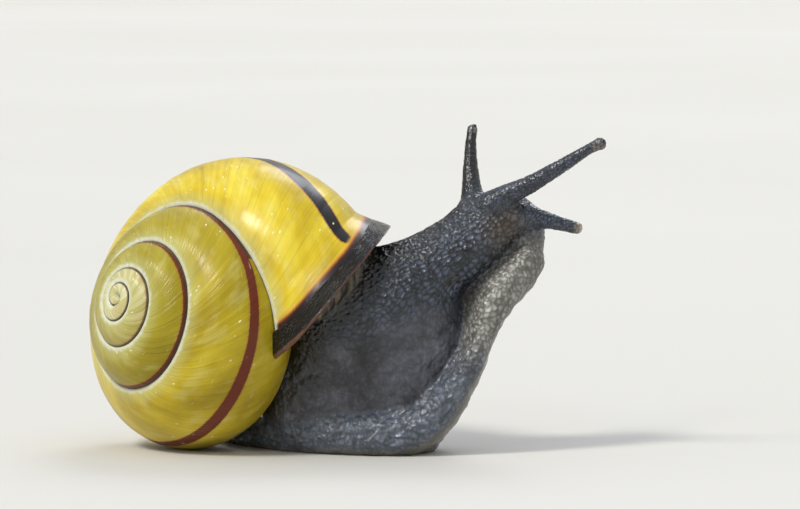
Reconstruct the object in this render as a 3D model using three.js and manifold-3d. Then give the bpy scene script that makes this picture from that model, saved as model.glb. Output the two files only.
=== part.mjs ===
import * as THREE from 'three';
import { mergeVertices } from 'three/addons/utils/BufferGeometryUtils.js';
import Module from 'manifold-3d';

const wasm = await Module();
wasm.setup();

// A grove snail (Cepaea nemoralis) that reaches up as it crawls: its tail and the middle of its foot
// lie on the ground, the front third of the foot is lifted, and the neck and head point up and forward.
// Millimetres. +X is the way it crawls, +Y its left side, +Z up. The origin is the middle of the
// sole, on the ground. Its right-coiling shell leans over its right side and rests on the ground too.

const TURN = 2 * Math.PI;
const point = (x, y, z) => new THREE.Vector3(x, y, z);
const degrees = THREE.MathUtils.degToRad;

// ---------------------------------------------------------------- driving dimensions

const GAP = 0.3;                 // clearance between neighbouring solids
const BEYOND = 40;               // longer than the animal, for the slabs that cut it
const EYE_GAP = 0.06;            // clearance round an eye in its feeler's tip

// The shell is a tube of oval section, wound round the shell's axis and growing as it goes.
const SHELL_RADIUS = 12.14;      // from the axis to the widest point of the last whorl
const WHORLS = 4.55;             // from the mouth back to the nucleus
const GROWTH = 0.3325;           // natural logarithm of the shrinking, over the first turn back
const GROWTH_SLOWING = 0.0475;   // the spire's growth is faster, by this much a turn squared
const INNER_RATIO = 0.014;       // inner radius of the tube over its outer radius
const SECTION_RATIO = 1.084;     // height of the tube's section over its width
const SPIRE_DEPTH = 11.0;        // depth of the last whorl's middle below the apex
const SPIRE_POWER = 1.44;        // above 1, the spire is domed and not a straight cone
const MOUTH_DROP = 0.431;        // how far the last stretch drops, in half widths of the tube
const DROP_TURNS = 80 / 360;     // length of that last stretch
const SPIRE_SAG = 0.36;          // the spire's whorls sit this much lower than a straight coil's
const SAG_GROWS = [0.7, 1.25];   // the turns over which the sag comes in
const SAG_FADES = [3.6, 5.2];    // and over which it is gone again, at the nucleus
const SPIRE_TURNS = 1.05;        // where the spire takes over from the last whorl
const SPIRE_GAP_TURNS = 0.01;    // the clearance there
const FINE_TURNS = 2.05;         // up to here the spire's sections have more sides
const CORE_RADIUS = 0.3;         // the whorls leave a narrow umbilicus this wide along the axis
const CORE_SHARE = 0.9;          // the share of a clearance round the tube that narrows the umbilicus
const NUCLEUS_TURNS = 0.22;      // the rounded start of the coil
const NUCLEUS_RINGS = 5;

// The shell's place: its apex points back, down to the animal's right and slightly up.
const SHELL_APEX = point(-14.41, -2.7, 10.65);
const AXIS_AZIMUTH = -139.84;
const AXIS_FROM_UPRIGHT = 76.54;
const MOUTH_ROLL = 77.1;

// The mouth of the shell lies in one plane, which faces forward and down.
const MOUTH_NORMAL = point(0.735, -0.047, -0.675).normalize();
const MOUTH_POINT = point(-0.47, -2.49, 10.22);
const PAST_MOUTH = -0.3;         // in turns: the tube is drawn from here and cut off at the mouth
const MOUTH_TURNS = 0.35;        // the stretch that the mouth's plane may cut ends here
const MOUTH_SIDES = 36;
const MOUTH_SEARCH_STEPS = 40;
const MOUTH_WALL = [0.45, 1.7];  // the turns of the tube that the mouth is set against
const SHELL_END = 1.85;          // no soft part outside the mouth meets the tube further back

// The dark lip round the mouth. It flares most at the top and runs out where it meets the spire.
const LIP_DEPTH = 1.5;           // along the mouth's normal
const LIP_FLARE = 1.0;           // how far its edge stands out from the tube
const LIP_TOP_FLARE = 0.5;       // how much more at the top
const LIP_TOP_CURL = 0.45;       // how far the top is curled back
const LIP_TOP = -35;             // where the top is, in degrees round the tube's section
const LIP_ENDS = [35, 95];       // where the flare begins to run out toward the suture, and is gone
const LIP_INSIDE = 0.55;         // how far it reaches into the mouth
const LIP_EDGE = 0.3;            // thickness of the edge
const LIP_MIDDLE = 0.6;          // the share of the flare that is reached half way along the lip

// The mantle collar, the ring of soft tissue that fills the mouth round the neck.
const COLLAR_BULGE = 0.75;       // how far it stands out of the mouth
const COLLAR_PROFILE = [         // distance in from its edge, and the share of the bulge there
    { inset: 0, share: 0 },
    { inset: 0.35, share: 0.7 },
    { inset: 1.1, share: 1 },
    { inset: 2.6, share: 0.9 },
];

// The foot: its middle line, half width, half thickness, and turn to the left in degrees.
const FOOT = [
    { at: point(-8.66, 11.07, 0.38), wide: 0.75, thick: 0.5, yaw: -55 },
    { at: point(-7.7, 9.4, 0.45), wide: 1.4, thick: 0.8, yaw: -58 },
    { at: point(-6.0, 6.7, 0.7), wide: 2.3, thick: 1.05, yaw: -52 },
    { at: point(-3.8, 4.1, 1.0), wide: 3.1, thick: 1.3, yaw: -44 },
    { at: point(-1.3, 1.9, 1.2), wide: 3.6, thick: 1.55, yaw: -30 },
    { at: point(1.6, 0.4, 1.35), wide: 3.75, thick: 1.65, yaw: -12 },
    { at: point(4.3, 0.0, 1.45), wide: 3.75, thick: 1.7, yaw: 0 },
    { at: point(6.3, 0.0, 2.75), wide: 3.7, thick: 1.5, yaw: 3 },
    { at: point(7.6, 0.0, 4.75), wide: 3.6, thick: 1.25, yaw: 6 },
    { at: point(8.45, 0.05, 6.5), wide: 3.5, thick: 1.05, yaw: 10 },
    { at: point(8.8, 0.15, 7.9), wide: 3.4, thick: 1.05, yaw: 14 },
    { at: point(9.25, 0.25, 9.3), wide: 3.3, thick: 1.2, yaw: 18 },
    { at: point(10.15, 0.5, 10.75), wide: 3.15, thick: 1.35, yaw: 22 },
    { at: point(11.25, 0.85, 11.95), wide: 2.8, thick: 1.35, yaw: 26 },
    { at: point(12.4, 1.35, 13.4), wide: 2.1, thick: 1.05, yaw: 30 },
];
const TAIL_END_X = -3.0;         // where the tail gives way to the middle of the foot
const LIFTED_Z = 4.4;            // where the lifted front of the foot begins

// The neck, from inside the mouth of the shell up to the head.
const NECK = [
    { at: point(-1.6, 0.0, 9.6), wide: 3.7, thick: 2.8, yaw: 0 },
    { at: point(1.7, 0.0, 9.9), wide: 3.6, thick: 3.1, yaw: 0 },
    { at: point(4.0, 0.0, 10.9), wide: 3.35, thick: 2.85, yaw: 4 },
    { at: point(6.0, 0.05, 12.15), wide: 3.0, thick: 2.4, yaw: 10 },
    { at: point(7.8, 0.2, 13.35), wide: 2.75, thick: 2.2, yaw: 18 },
    { at: point(9.4, 0.45, 14.55), wide: 2.5, thick: 1.95, yaw: 26 },
];

// The head, from the neck to the mouth.
const HEAD = [
    { at: point(8.9, 0.4, 14.1), wide: 2.45, thick: 1.95, yaw: 24 },
    { at: point(10.0, 0.65, 15.15), wide: 2.4, thick: 1.8, yaw: 27 },
    { at: point(11.15, 1.0, 15.4), wide: 2.15, thick: 1.65, yaw: 29 },
    { at: point(12.0, 1.35, 14.75), wide: 1.75, thick: 1.4, yaw: 30 },
    { at: point(12.35, 1.5, 13.95), wide: 1.4, thick: 1.1, yaw: 30 },
];

// The trunk: level sections from the foot up to the neck; wide is across, thick is along.
const TRUNK = [
    { at: point(0.0, 1.1, 0.7), wide: 3.0, thick: 6.3, yaw: -12 },
    { at: point(0.4, 0.9, 1.6), wide: 3.0, thick: 6.1, yaw: -8 },
    { at: point(1.2, 0.35, 3.8), wide: 2.9, thick: 6.3, yaw: -4 },
    { at: point(2.0, 0.1, 6.0), wide: 2.9, thick: 6.0, yaw: 0 },
    { at: point(2.4, 0.0, 8.0), wide: 3.05, thick: 6.1, yaw: 2 },
    { at: point(3.0, 0.0, 10.2), wide: 3.15, thick: 6.0, yaw: 6 },
];

// The feelers: the middle line and the radius at each of its points.
const FEELERS = {
    upper_tentacle_right: [
        { at: point(9.6, -0.5, 16.1), radius: 0.95 },
        { at: point(10.9, -1.0, 16.95), radius: 0.7 },
        { at: point(12.5, -1.5, 17.72), radius: 0.57 },
        { at: point(14.8, -2.2, 19.12), radius: 0.43 },
        { at: point(16.2, -2.6, 20.03), radius: 0.35 },
        { at: point(17.49, -2.95, 20.6), radius: 0.42 },
    ],
    upper_tentacle_left: [
        { at: point(8.9, 1.9, 15.7), radius: 1.0 },
        { at: point(8.78, 2.35, 16.85), radius: 0.7 },
        { at: point(8.7, 3.1, 18.2), radius: 0.52 },
        { at: point(8.7, 4.2, 20.0), radius: 0.38 },
        { at: point(8.86, 4.99, 21.38), radius: 0.38 },
    ],
    lower_tentacle_right: [
        { at: point(11.2, 0.1, 15.45), radius: 0.95 },
        { at: point(12.2, -0.25, 15.6), radius: 0.7 },
        { at: point(13.3, -0.42, 15.4), radius: 0.58 },
        { at: point(14.6, -0.62, 15.08), radius: 0.43 },
        { at: point(15.95, -0.82, 14.72), radius: 0.37 },
    ],
    lower_tentacle_left: [
        { at: point(11.0, 2.2, 15.3), radius: 0.8 },
        { at: point(11.3, 2.95, 15.3), radius: 0.6 },
        { at: point(11.6, 3.8, 15.1), radius: 0.5 },
        { at: point(11.9, 4.9, 14.8), radius: 0.38 },
    ],
};
const FEELER_YAW = 60;           // only turns the corners of a feeler's round sections
const EYE_RADIUS = 0.17;
const EYES = {
    eye_right: { feeler: 'upper_tentacle_right', at: point(17.24, -3.07, 20.64) },
    eye_left: { feeler: 'upper_tentacle_left', at: point(8.95, 4.76, 21.24) },
};

// The two soft lobes beside the mouth opening.
const LOBE_RADII = point(0.7, 0.62, 0.9);
const LOBES = {
    oral_lobe_right: point(12.7, 0.4, 13.7),
    oral_lobe_left: point(12.05, 2.35, 13.7),
};

// ---------------------------------------------------------------- solids

// A closed manifold solid from a closed three.js geometry.
function solidOf(geometry) {
    const bare = geometry.index ? geometry.toNonIndexed() : geometry.clone();
    bare.deleteAttribute('normal');
    bare.deleteAttribute('uv');
    const merged = mergeVertices(bare);
    return new wasm.Manifold(new wasm.Mesh({
        numProp: 3,
        vertProperties: new Float32Array(merged.attributes.position.array),
        triVerts: new Uint32Array(merged.index.array),
    }));
}

// The largest piece of a solid, as a three.js geometry.
function geometryOf(solid) {
    const pieces = solid.decompose().sort((a, b) => b.volume() - a.volume());
    const { vertProperties, triVerts } = pieces[0].getMesh();
    const geometry = new THREE.BufferGeometry();
    geometry.setAttribute('position', new THREE.BufferAttribute(vertProperties, 3));
    geometry.setIndex(new THREE.BufferAttribute(triVerts, 1));
    geometry.computeVertexNormals();
    return geometry;
}

// The solid between rings of points. The ends are capped, or joined if the rings form a loop.
function skin(rings, loop = false) {
    const sides = rings[0].length;
    const corners = rings.flat();
    const faces = [];
    const last = loop ? rings.length : rings.length - 1;
    for (let i = 0; i < last; i++) {
        const here = i * sides;
        const next = ((i + 1) % rings.length) * sides;
        for (let j = 0; j < sides; j++) {
            const k = (j + 1) % sides;
            faces.push([here + j, next + j, next + k], [here + j, next + k, here + k]);
        }
    }
    if (!loop) {
        const top = (rings.length - 1) * sides;
        const centres = [rings[0], rings.at(-1)].map((ring) => (
            ring.reduce((sum, corner) => sum.add(corner), point(0, 0, 0)).divideScalar(sides)
        ));
        corners.push(...centres);
        const [first, final] = [corners.length - 2, corners.length - 1];
        for (let j = 0; j < sides; j++) {
            const k = (j + 1) % sides;
            faces.push([first, j, k], [final, top + k, top + j]);
        }
    }
    const volume = faces.reduce((sum, [a, b, c]) => (
        sum + corners[a].dot(corners[b].clone().cross(corners[c]))
    ), 0);
    const geometry = new THREE.BufferGeometry().setFromPoints(corners);
    geometry.setIndex(faces.flatMap(([a, b, c]) => (volume > 0 ? [a, b, c] : [a, c, b])));
    return solidOf(geometry);
}

// A slab of space between two heights along a normal, measured from a point.
function slab(normal, through, from, to) {
    const geometry = new THREE.BoxGeometry(2 * BEYOND, 2 * BEYOND, to - from);
    geometry.translate(0, 0, (from + to) / 2);
    geometry.applyQuaternion(new THREE.Quaternion().setFromUnitVectors(point(0, 0, 1), normal));
    geometry.translate(through.x, through.y, through.z);
    return solidOf(geometry);
}

// One section of a body part: a rounded rectangle whose corners tighten as squareness grows.
function section({ centre, along, yaw, wide, thick, squareness, sides }) {
    const left = point(-Math.sin(degrees(yaw)), Math.cos(degrees(yaw)), 0);
    left.addScaledVector(along, -left.dot(along)).normalize();
    const up = along.clone().cross(left);
    const round = (value) => Math.sign(value) * Math.abs(value) ** (2 / squareness);
    return Array.from({ length: sides }, (_, k) => {
        const angle = (k + 0.5) / sides * TURN;
        return centre.clone()
            .addScaledVector(left, wide * round(Math.cos(angle)))
            .addScaledVector(up, thick * round(Math.sin(angle)));
    });
}

// A soft body part along its stations, with rounded ends.
const CAP_RINGS = 3;
function bodyPart(stations, { steps, sides, squareness = 2, startCap = 0.6, endCap = 0.6, grow = 0 }) {
    const path = new THREE.CatmullRomCurve3(stations.map((s) => s.at));
    const sizes = new THREE.CatmullRomCurve3(stations.map((s) => point(s.wide, s.thick, s.yaw)));
    const length = path.getLength();
    const cuts = [];
    for (let i = 1; i <= CAP_RINGS; i++) {
        const angle = (i / CAP_RINGS) * Math.PI / 2;
        cuts.push({ along: startCap * (1 - Math.cos(angle)), scale: Math.sin(angle) });
    }
    for (let i = 1; i < steps; i++) {
        cuts.push({ along: startCap + (length - startCap - endCap) * i / steps, scale: 1 });
    }
    for (let i = CAP_RINGS; i >= 1; i--) {
        const angle = (i / CAP_RINGS) * Math.PI / 2;
        cuts.push({ along: length - endCap * (1 - Math.cos(angle)), scale: Math.sin(angle) });
    }
    return skin(cuts.map((cut) => {
        const u = THREE.MathUtils.clamp(cut.along / length, 0, 1);
        const size = sizes.getPoint(path.getUtoTmapping(u));
        return section({
            centre: path.getPointAt(u),
            along: path.getTangentAt(u),
            yaw: size.z,
            wide: (size.x + grow) * cut.scale,
            thick: (size.y + grow) * cut.scale,
            squareness,
            sides,
        });
    }));
}

// ---------------------------------------------------------------- the shell, in its own frame

// The tube at a number of turns back from the mouth.
function whorl(turns) {
    const outer = SHELL_RADIUS * Math.exp(-GROWTH * turns - GROWTH_SLOWING * turns * turns);
    const half = outer * (1 - INNER_RATIO) / 2;
    const late = Math.max(0, 1 - turns / DROP_TURNS);
    const drop = MOUTH_DROP * half * late * late;
    const depth = SPIRE_DEPTH * (outer / SHELL_RADIUS) ** SPIRE_POWER + drop;
    return { middle: outer - half, half, depth };
}

// A point of the tube's surface; the angle is 0 at the widest place and rises toward the apex.
function whorlPoint(turns, angle, { grow = 0, scale = 1, filled = false } = {}) {
    const { middle, half, depth } = whorl(turns);
    const reach = middle + (half * scale + grow) * Math.cos(angle);
    const radius = Math.max(filled ? 0 : reach, CORE_RADIUS - CORE_SHARE * grow);
    const height = (SECTION_RATIO * half * scale + grow) * Math.sin(angle) - depth;
    const sag = SPIRE_SAG * THREE.MathUtils.smoothstep(turns, ...SAG_GROWS)
        * (1 - THREE.MathUtils.smoothstep(turns, ...SAG_FADES));
    return point(radius * Math.cos(TURN * turns), radius * Math.sin(TURN * turns), height)
        .addScaledVector(downward, sag);
}

// One section of the solid tube. Inside, where whorls hide each other, it is filled up to the
// axis: on the side toward the apex, and in the spire on both sides.
function whorlRing(turns, sides, grow, scale) {
    return Array.from({ length: sides }, (_, k) => {
        const angle = k / sides * TURN;
        const hidden = Math.sin(angle) > 0.01 || turns > SPIRE_TURNS;
        return whorlPoint(turns, angle, { grow, scale, filled: hidden && Math.cos(angle) < -0.01 });
    });
}

// A stretch of the tube, joined from half turns so that none runs into itself. Neighbouring halves
// share one ring, so that they meet exactly.
function tube(from, to, { sides, stepsPerTurn, grow = 0 }) {
    const steps = Math.ceil((to - from) * stepsPerTurn);
    const rings = Array.from({ length: steps + 1 }, (_, i) => (
        whorlRing(THREE.MathUtils.lerp(from, to, i / steps), sides, grow)
    ));
    const halfTurn = stepsPerTurn / 2;
    const halves = [];
    for (let first = 0; first < steps; first += halfTurn) {
        halves.push(skin(rings.slice(first, first + halfTurn + 1)));
    }
    return wasm.Manifold.union(halves);
}

// The rounded start of the coil.
function nucleus({ sides, grow = 0 }) {
    return skin(Array.from({ length: NUCLEUS_RINGS + 1 }, (_, i) => {
        const angle = i / (NUCLEUS_RINGS + 0.5) * Math.PI / 2;
        return whorlRing(WHORLS + NUCLEUS_TURNS * Math.sin(angle), sides, grow, Math.cos(angle));
    }));
}

const shell = new THREE.Group();
shell.position.copy(SHELL_APEX);
shell.quaternion.setFromEuler(new THREE.Euler(0, degrees(AXIS_FROM_UPRIGHT), degrees(AXIS_AZIMUTH), 'ZYX'));
shell.quaternion.multiply(new THREE.Quaternion().setFromAxisAngle(point(0, 0, 1), degrees(MOUTH_ROLL)));
shell.updateMatrixWorld();

const toShell = shell.matrixWorld.clone().invert();
const mouthNormal = MOUTH_NORMAL.clone().transformDirection(toShell);
const mouthPoint = MOUTH_POINT.clone().applyMatrix4(toShell);
const downward = point(0, 0, -1).transformDirection(toShell);
const inFrontOfMouth = (place) => place.clone().sub(mouthPoint).dot(mouthNormal);

// A solid of the shell's frame, in the animal's frame.
const placed = (solid) => solid.transform([...shell.matrixWorld.elements]);

// The outline that the tube has where it crosses a plane in front of (or behind) the mouth's plane.
function mouthOutline(ahead) {
    return Array.from({ length: MOUTH_SIDES }, (_, k) => {
        const angle = k / MOUTH_SIDES * TURN;
        let open = PAST_MOUTH;
        let shut = MOUTH_TURNS;
        for (let i = 0; i < MOUTH_SEARCH_STEPS; i++) {
            const middle = (open + shut) / 2;
            if (inFrontOfMouth(whorlPoint(middle, angle)) > ahead) open = middle;
            else shut = middle;
        }
        return whorlPoint(open, angle);
    });
}

// The same outline, moved outward and ahead, each by a function of the angle in degrees. Outward is
// square to the outline, but inward is straight to its middle, so that a tight bend never folds over.
function offsetOutline(outline, outward, ahead) {
    const middle = outline.reduce((sum, corner) => sum.add(corner), point(0, 0, 0)).divideScalar(MOUTH_SIDES);
    return outline.map((corner, k) => {
        const angle = k / MOUTH_SIDES * 360;
        const before = outline[(k + MOUTH_SIDES - 1) % MOUTH_SIDES];
        const after = outline[(k + 1) % MOUTH_SIDES];
        const fromMiddle = corner.clone().sub(middle).normalize();
        const square = after.clone().sub(before).cross(mouthNormal).normalize();
        if (square.dot(fromMiddle) < 0) square.negate();
        const away = outward(angle) > 0 ? square : fromMiddle;
        return corner.clone()
            .addScaledVector(away, outward(angle))
            .addScaledVector(mouthNormal, ahead(angle));
    });
}

// Last stretch of the tube, cut off along a plane behind the mouth's plane.
function mouthStretch(behind, options) {
    const stretch = tube(PAST_MOUTH, MOUTH_TURNS, options);
    return stretch.intersect(slab(mouthNormal, mouthPoint, -BEYOND, -behind));
}

function bodyWhorl() {
    const detail = { sides: 24, stepsPerTurn: 26 };
    const mouth = mouthStretch(LIP_DEPTH + GAP, detail);
    const wall = wasm.Manifold.union([mouth, tube(MOUTH_TURNS, SPIRE_TURNS, detail)]);
    const inner = tube(SPIRE_TURNS - SPIRE_GAP_TURNS, WHORLS, { sides: 16, stepsPerTurn: 18, grow: GAP });
    return wall.subtract(inner).subtract(nucleus({ sides: 16, grow: GAP }));
}

function spire() {
    return wasm.Manifold.union([
        tube(SPIRE_TURNS, FINE_TURNS, { sides: 16, stepsPerTurn: 20 }),
        tube(FINE_TURNS, WHORLS, { sides: 12, stepsPerTurn: 16 }),
        nucleus({ sides: 12 }),
    ]);
}

// The whorl that the mouth is set against, with its clearance.
const innerWhorl = () => tube(...MOUTH_WALL, { sides: 24, stepsPerTurn: 24, grow: GAP });

// 1 at the lip's top, 0 at its sides.
const lipTop = (angle) => Math.max(0, Math.cos(degrees(angle - LIP_TOP))) ** 2;

// How far the lip's edge stands out at an angle round the section, in degrees.
function lipFlare(angle) {
    const top = LIP_TOP_FLARE * lipTop(angle);
    const runOut = angle < 180 ? 1 - THREE.MathUtils.smoothstep(angle, ...LIP_ENDS) : 1;
    return (LIP_FLARE + top) * runOut;
}

function lip(grow = 0) {
    const edge = mouthOutline(0);
    const neck = mouthOutline(-LIP_DEPTH / 2);
    const back = mouthOutline(-LIP_DEPTH);
    const outward = (angle) => lipFlare(angle) + grow;
    const inward = () => -LIP_INSIDE - grow;
    const curl = (angle) => -LIP_TOP_CURL * lipTop(angle);
    const profile = [
        offsetOutline(edge, outward, (angle) => curl(angle) + grow),
        offsetOutline(edge, outward, (angle) => curl(angle) - LIP_EDGE - grow),
        offsetOutline(neck, (angle) => LIP_MIDDLE * lipFlare(angle) + grow, () => 0),
        offsetOutline(back, () => grow, () => -grow),
        offsetOutline(back, inward, () => -grow),
        offsetOutline(edge, inward, () => grow),
    ];
    const rings = edge.map((_, k) => profile.map((outline) => outline[k]));
    return skin(rings, true);
}

function collar(grow = 0) {
    const room = LIP_INSIDE + GAP - grow;
    const face = mouthOutline(0);
    return skin([
        offsetOutline(mouthOutline(-LIP_DEPTH), () => -room, () => -grow),
        ...COLLAR_PROFILE.map(({ inset, share }) => (
            offsetOutline(face, () => -room - inset, () => share * COLLAR_BULGE + grow)
        )),
    ]);
}

// ---------------------------------------------------------------- the soft body

const ORIGIN = point(0, 0, 0);
const UPWARD = point(0, 0, 1);
const FORWARD = point(1, 0, 0);
const ground = slab(UPWARD, ORIGIN, 0, BEYOND);
const foot = (grow = 0) => bodyPart(FOOT, {
    steps: 26, sides: 18, squareness: 2.7, startCap: 0.8, endCap: 1.2, grow,
});
const neck = (grow = 0) => bodyPart(NECK, { steps: 9, sides: 18, squareness: 2.1, grow });
const head = (grow = 0) => bodyPart(HEAD, { steps: 7, sides: 18, startCap: 0.9, endCap: 0.9, grow });
const trunk = (grow = 0) => bodyPart(TRUNK, { steps: 8, sides: 18, squareness: 2.4, grow });

function feeler(stations, grow = 0) {
    const round = stations.map(({ at, radius }) => ({ at, wide: radius, thick: radius, yaw: FEELER_YAW }));
    return bodyPart(round, { steps: 9, sides: 10, startCap: 0.3, endCap: 0.38, grow });
}

function ball(centre, radii, sides = 12) {
    const geometry = new THREE.SphereGeometry(1, sides, sides * 2 / 3);
    geometry.scale(radii.x, radii.y, radii.z);
    geometry.translate(centre.x, centre.y, centre.z);
    return solidOf(geometry);
}

// ---------------------------------------------------------------- the animal

const finish = (color, roughness) => new THREE.MeshStandardMaterial({ color, roughness, metalness: 0 });
const FINISHES = {
    shell: finish(0xb9a12a, 0.25),
    lip: finish(0x2a1712, 0.2),
    skin: finish(0x4a4c52, 0.4),
    foot: finish(0x6a6a68, 0.4),
    collar: finish(0x6b5a35, 0.35),
    eye: finish(0x0a0a0a, 0.1),
};

const snail = new THREE.Group();
snail.add(shell);

function addMesh(group, name, solid, material) {
    const mesh = new THREE.Mesh(geometryOf(solid), material);
    mesh.name = name;
    group.add(mesh);
}

// The shell's pieces stay in its own frame, where only the flat that it rests on is cut.
const toShellFrame = (solid) => solid.transform([...toShell.elements]);
const groundInShell = toShellFrame(ground);
const spireSolid = spire();
const lipSolid = lip().subtract(innerWhorl());
const collarSolid = collar().subtract(innerWhorl());
addMesh(shell, 'shell_spire', spireSolid.intersect(groundInShell), FINISHES.shell);
addMesh(shell, 'shell_body_whorl', bodyWhorl().intersect(groundInShell), FINISHES.shell);
addMesh(shell, 'shell_lip', lipSolid, FINISHES.lip);
addMesh(shell, 'mantle_collar', collarSolid, FINISHES.collar);

// All that the soft body keeps clear of.
const roundShell = placed(wasm.Manifold.union([
    mouthStretch(LIP_DEPTH - GAP, { sides: 16, stepsPerTurn: 16, grow: GAP }),
    tube(MOUTH_TURNS, SHELL_END, { sides: 16, stepsPerTurn: 16, grow: GAP }),
    lip(GAP),
    collar(GAP),
]));

const footSolid = foot().intersect(ground).subtract(roundShell);
const behindTrunk = slab(FORWARD, ORIGIN, -BEYOND, TAIL_END_X - GAP / 2);
const aheadOfTail = slab(FORWARD, ORIGIN, TAIL_END_X + GAP / 2, BEYOND);
const lifted = slab(UPWARD, ORIGIN, LIFTED_Z + GAP / 2, BEYOND);
const lowered = slab(UPWARD, ORIGIN, -BEYOND, LIFTED_Z - GAP / 2);
addMesh(snail, 'tail', footSolid.intersect(behindTrunk), FINISHES.foot);
addMesh(snail, 'foot_middle', footSolid.intersect(aheadOfTail).intersect(lowered), FINISHES.foot);
addMesh(snail, 'foot_front', footSolid.intersect(lifted), FINISHES.foot);

const footRoom = foot(GAP);
const headSolid = head().subtract(footRoom);
const neckSolid = neck().subtract(roundShell).subtract(footRoom).subtract(head(GAP));
const trunkSolid = trunk().subtract(roundShell).subtract(footRoom).subtract(neck(GAP));
addMesh(snail, 'head', headSolid, FINISHES.skin);
addMesh(snail, 'neck', neckSolid, FINISHES.skin);
addMesh(snail, 'trunk', trunkSolid.subtract(head(GAP)), FINISHES.skin);

const headRoom = wasm.Manifold.union([head(GAP), footRoom]);
for (const [name, centre] of Object.entries(LOBES)) {
    addMesh(snail, name, ball(centre, LOBE_RADII).subtract(headRoom), FINISHES.foot);
}
for (const [name, stations] of Object.entries(FEELERS)) {
    let solid = feeler(stations).subtract(headRoom).subtract(neck(GAP));
    for (const eye of Object.values(EYES).filter(({ feeler: on }) => on === name)) {
        const socket = EYE_RADIUS + EYE_GAP;
        solid = solid.subtract(ball(eye.at, point(socket, socket, socket)));
    }
    addMesh(snail, name, solid, FINISHES.skin);
}
for (const [name, { at }] of Object.entries(EYES)) {
    addMesh(snail, name, ball(at, point(EYE_RADIUS, EYE_RADIUS, EYE_RADIUS), 9), FINISHES.eye);
}

export default snail;
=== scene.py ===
import math

import bpy
import numpy as np
import openvdb
from mathutils import Matrix, Vector


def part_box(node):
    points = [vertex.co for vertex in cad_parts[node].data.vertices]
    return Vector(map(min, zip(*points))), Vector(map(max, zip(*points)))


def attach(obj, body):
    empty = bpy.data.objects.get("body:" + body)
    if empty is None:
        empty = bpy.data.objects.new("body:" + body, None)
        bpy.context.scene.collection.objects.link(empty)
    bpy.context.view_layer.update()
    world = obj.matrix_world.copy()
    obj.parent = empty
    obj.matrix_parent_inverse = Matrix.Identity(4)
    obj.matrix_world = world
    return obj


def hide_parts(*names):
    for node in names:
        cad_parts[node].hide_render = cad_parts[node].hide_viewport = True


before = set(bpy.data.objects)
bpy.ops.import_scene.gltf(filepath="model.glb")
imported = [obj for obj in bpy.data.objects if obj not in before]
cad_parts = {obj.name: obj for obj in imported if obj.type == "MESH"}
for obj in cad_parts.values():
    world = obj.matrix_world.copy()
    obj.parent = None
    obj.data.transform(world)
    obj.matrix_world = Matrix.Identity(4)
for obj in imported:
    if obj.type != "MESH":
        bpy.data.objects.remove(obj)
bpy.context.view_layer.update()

# A grove snail, life size. Shapes are worked out in millimetres in the model's frame (+X the way
# it crawls, +Y its left side, +Z up) and written to Blender in metres.
MM = 0.001
TURN = 2 * math.pi

# ---------------------------------------------------------------- small helpers


def smoothstep(start, end, x):
    t = np.clip((np.asarray(x, float) - start) / (end - start), 0, 1)
    return t * t * (3 - 2 * t)


def linear(hex_colour):
    """An sRGB hex colour as linear RGBA."""
    parts = [int(hex_colour[i : i + 2], 16) / 255 for i in (1, 3, 5)]
    return (*[c / 12.92 if c <= 0.04045 else ((c + 0.055) / 1.055) ** 2.4 for c in parts], 1)


def unit(vectors):
    return vectors / np.maximum(np.linalg.norm(vectors, axis=-1, keepdims=True), 1e-12)


def add_facts(mesh, facts):
    """Stores numbers for the finishes to read: each name has one number for each point."""
    for name, values in facts.items():
        made = mesh.attributes.new(name, "FLOAT", "POINT")
        made.data.foreach_set("value", np.asarray(values, np.float32).ravel())


def smooth_object(name, mesh):
    """A smooth-shaded object in the scene."""
    mesh.polygons.foreach_set("use_smooth", [True] * len(mesh.polygons))
    piece = bpy.data.objects.new(name, mesh)
    bpy.context.scene.collection.objects.link(piece)
    return piece


def mesh_object(name, points_mm, faces, facts=None):
    mesh = bpy.data.meshes.new(name)
    mesh.from_pydata((np.asarray(points_mm) * MM).tolist(), [], faces)
    add_facts(mesh, facts or {})
    mesh.validate()
    return smooth_object(name, mesh)


def grid_faces(rows, columns, wrap=False):
    """Quads between the points of a grid that is stored row by row."""
    last = columns if wrap else columns - 1
    faces = []
    for i in range(rows - 1):
        for j in range(last):
            k = (j + 1) % columns
            faces.append((i * columns + j, i * columns + k, (i + 1) * columns + k, (i + 1) * columns + j))
    return faces


def node_corners(node):
    """The lowest and highest corners of a solid of the frame, mm."""
    return [np.array(corner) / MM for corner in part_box(node)]


def lattice_random(cell, seed):
    """A steady pseudo-random number from 0 to 1 for each whole-numbered cell."""
    x, y, z = (cell[..., i].astype(np.int64) for i in range(3))
    mixed = (x * 73856093) ^ (y * 19349663) ^ (z * 83492791) ^ (seed * 2654435761)
    mixed = (mixed ^ (mixed >> 13)) * 1274126177 & 0xFFFFFFFF
    return ((mixed ^ (mixed >> 16)) & 0xFFFFFF) / 0x1000000


def noise(points, seed=0):
    """Smooth value noise from -1 to 1, about one wave for each unit of length."""
    base = np.floor(points)
    part = points - base
    part = part * part * (3 - 2 * part)
    total = np.zeros(len(points))
    for corner in np.ndindex(2, 2, 2):
        share = np.prod(np.where(corner, part, 1 - part), axis=1)
        total += share * lattice_random(base + corner, seed)
    return 2 * total - 1


def flat_noise(x, y, seed):
    """The same noise over two coordinates."""
    x, y = np.broadcast_arrays(x, y)
    return noise(np.stack([x, y, 0 * x], axis=-1).reshape(-1, 3), seed).reshape(x.shape)


CELL_JITTER = 0.76  # how far a cell's middle may stray, as a share of the cell's width
BEAD_FALL, BEAD_REACH = 0.55, 0.8  # a bead is this much lower at this distance from its middle
CREASE_WIDTH = (-0.08, 0.42)  # and rises from its crease as the next bead's middle gets this much further


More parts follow.
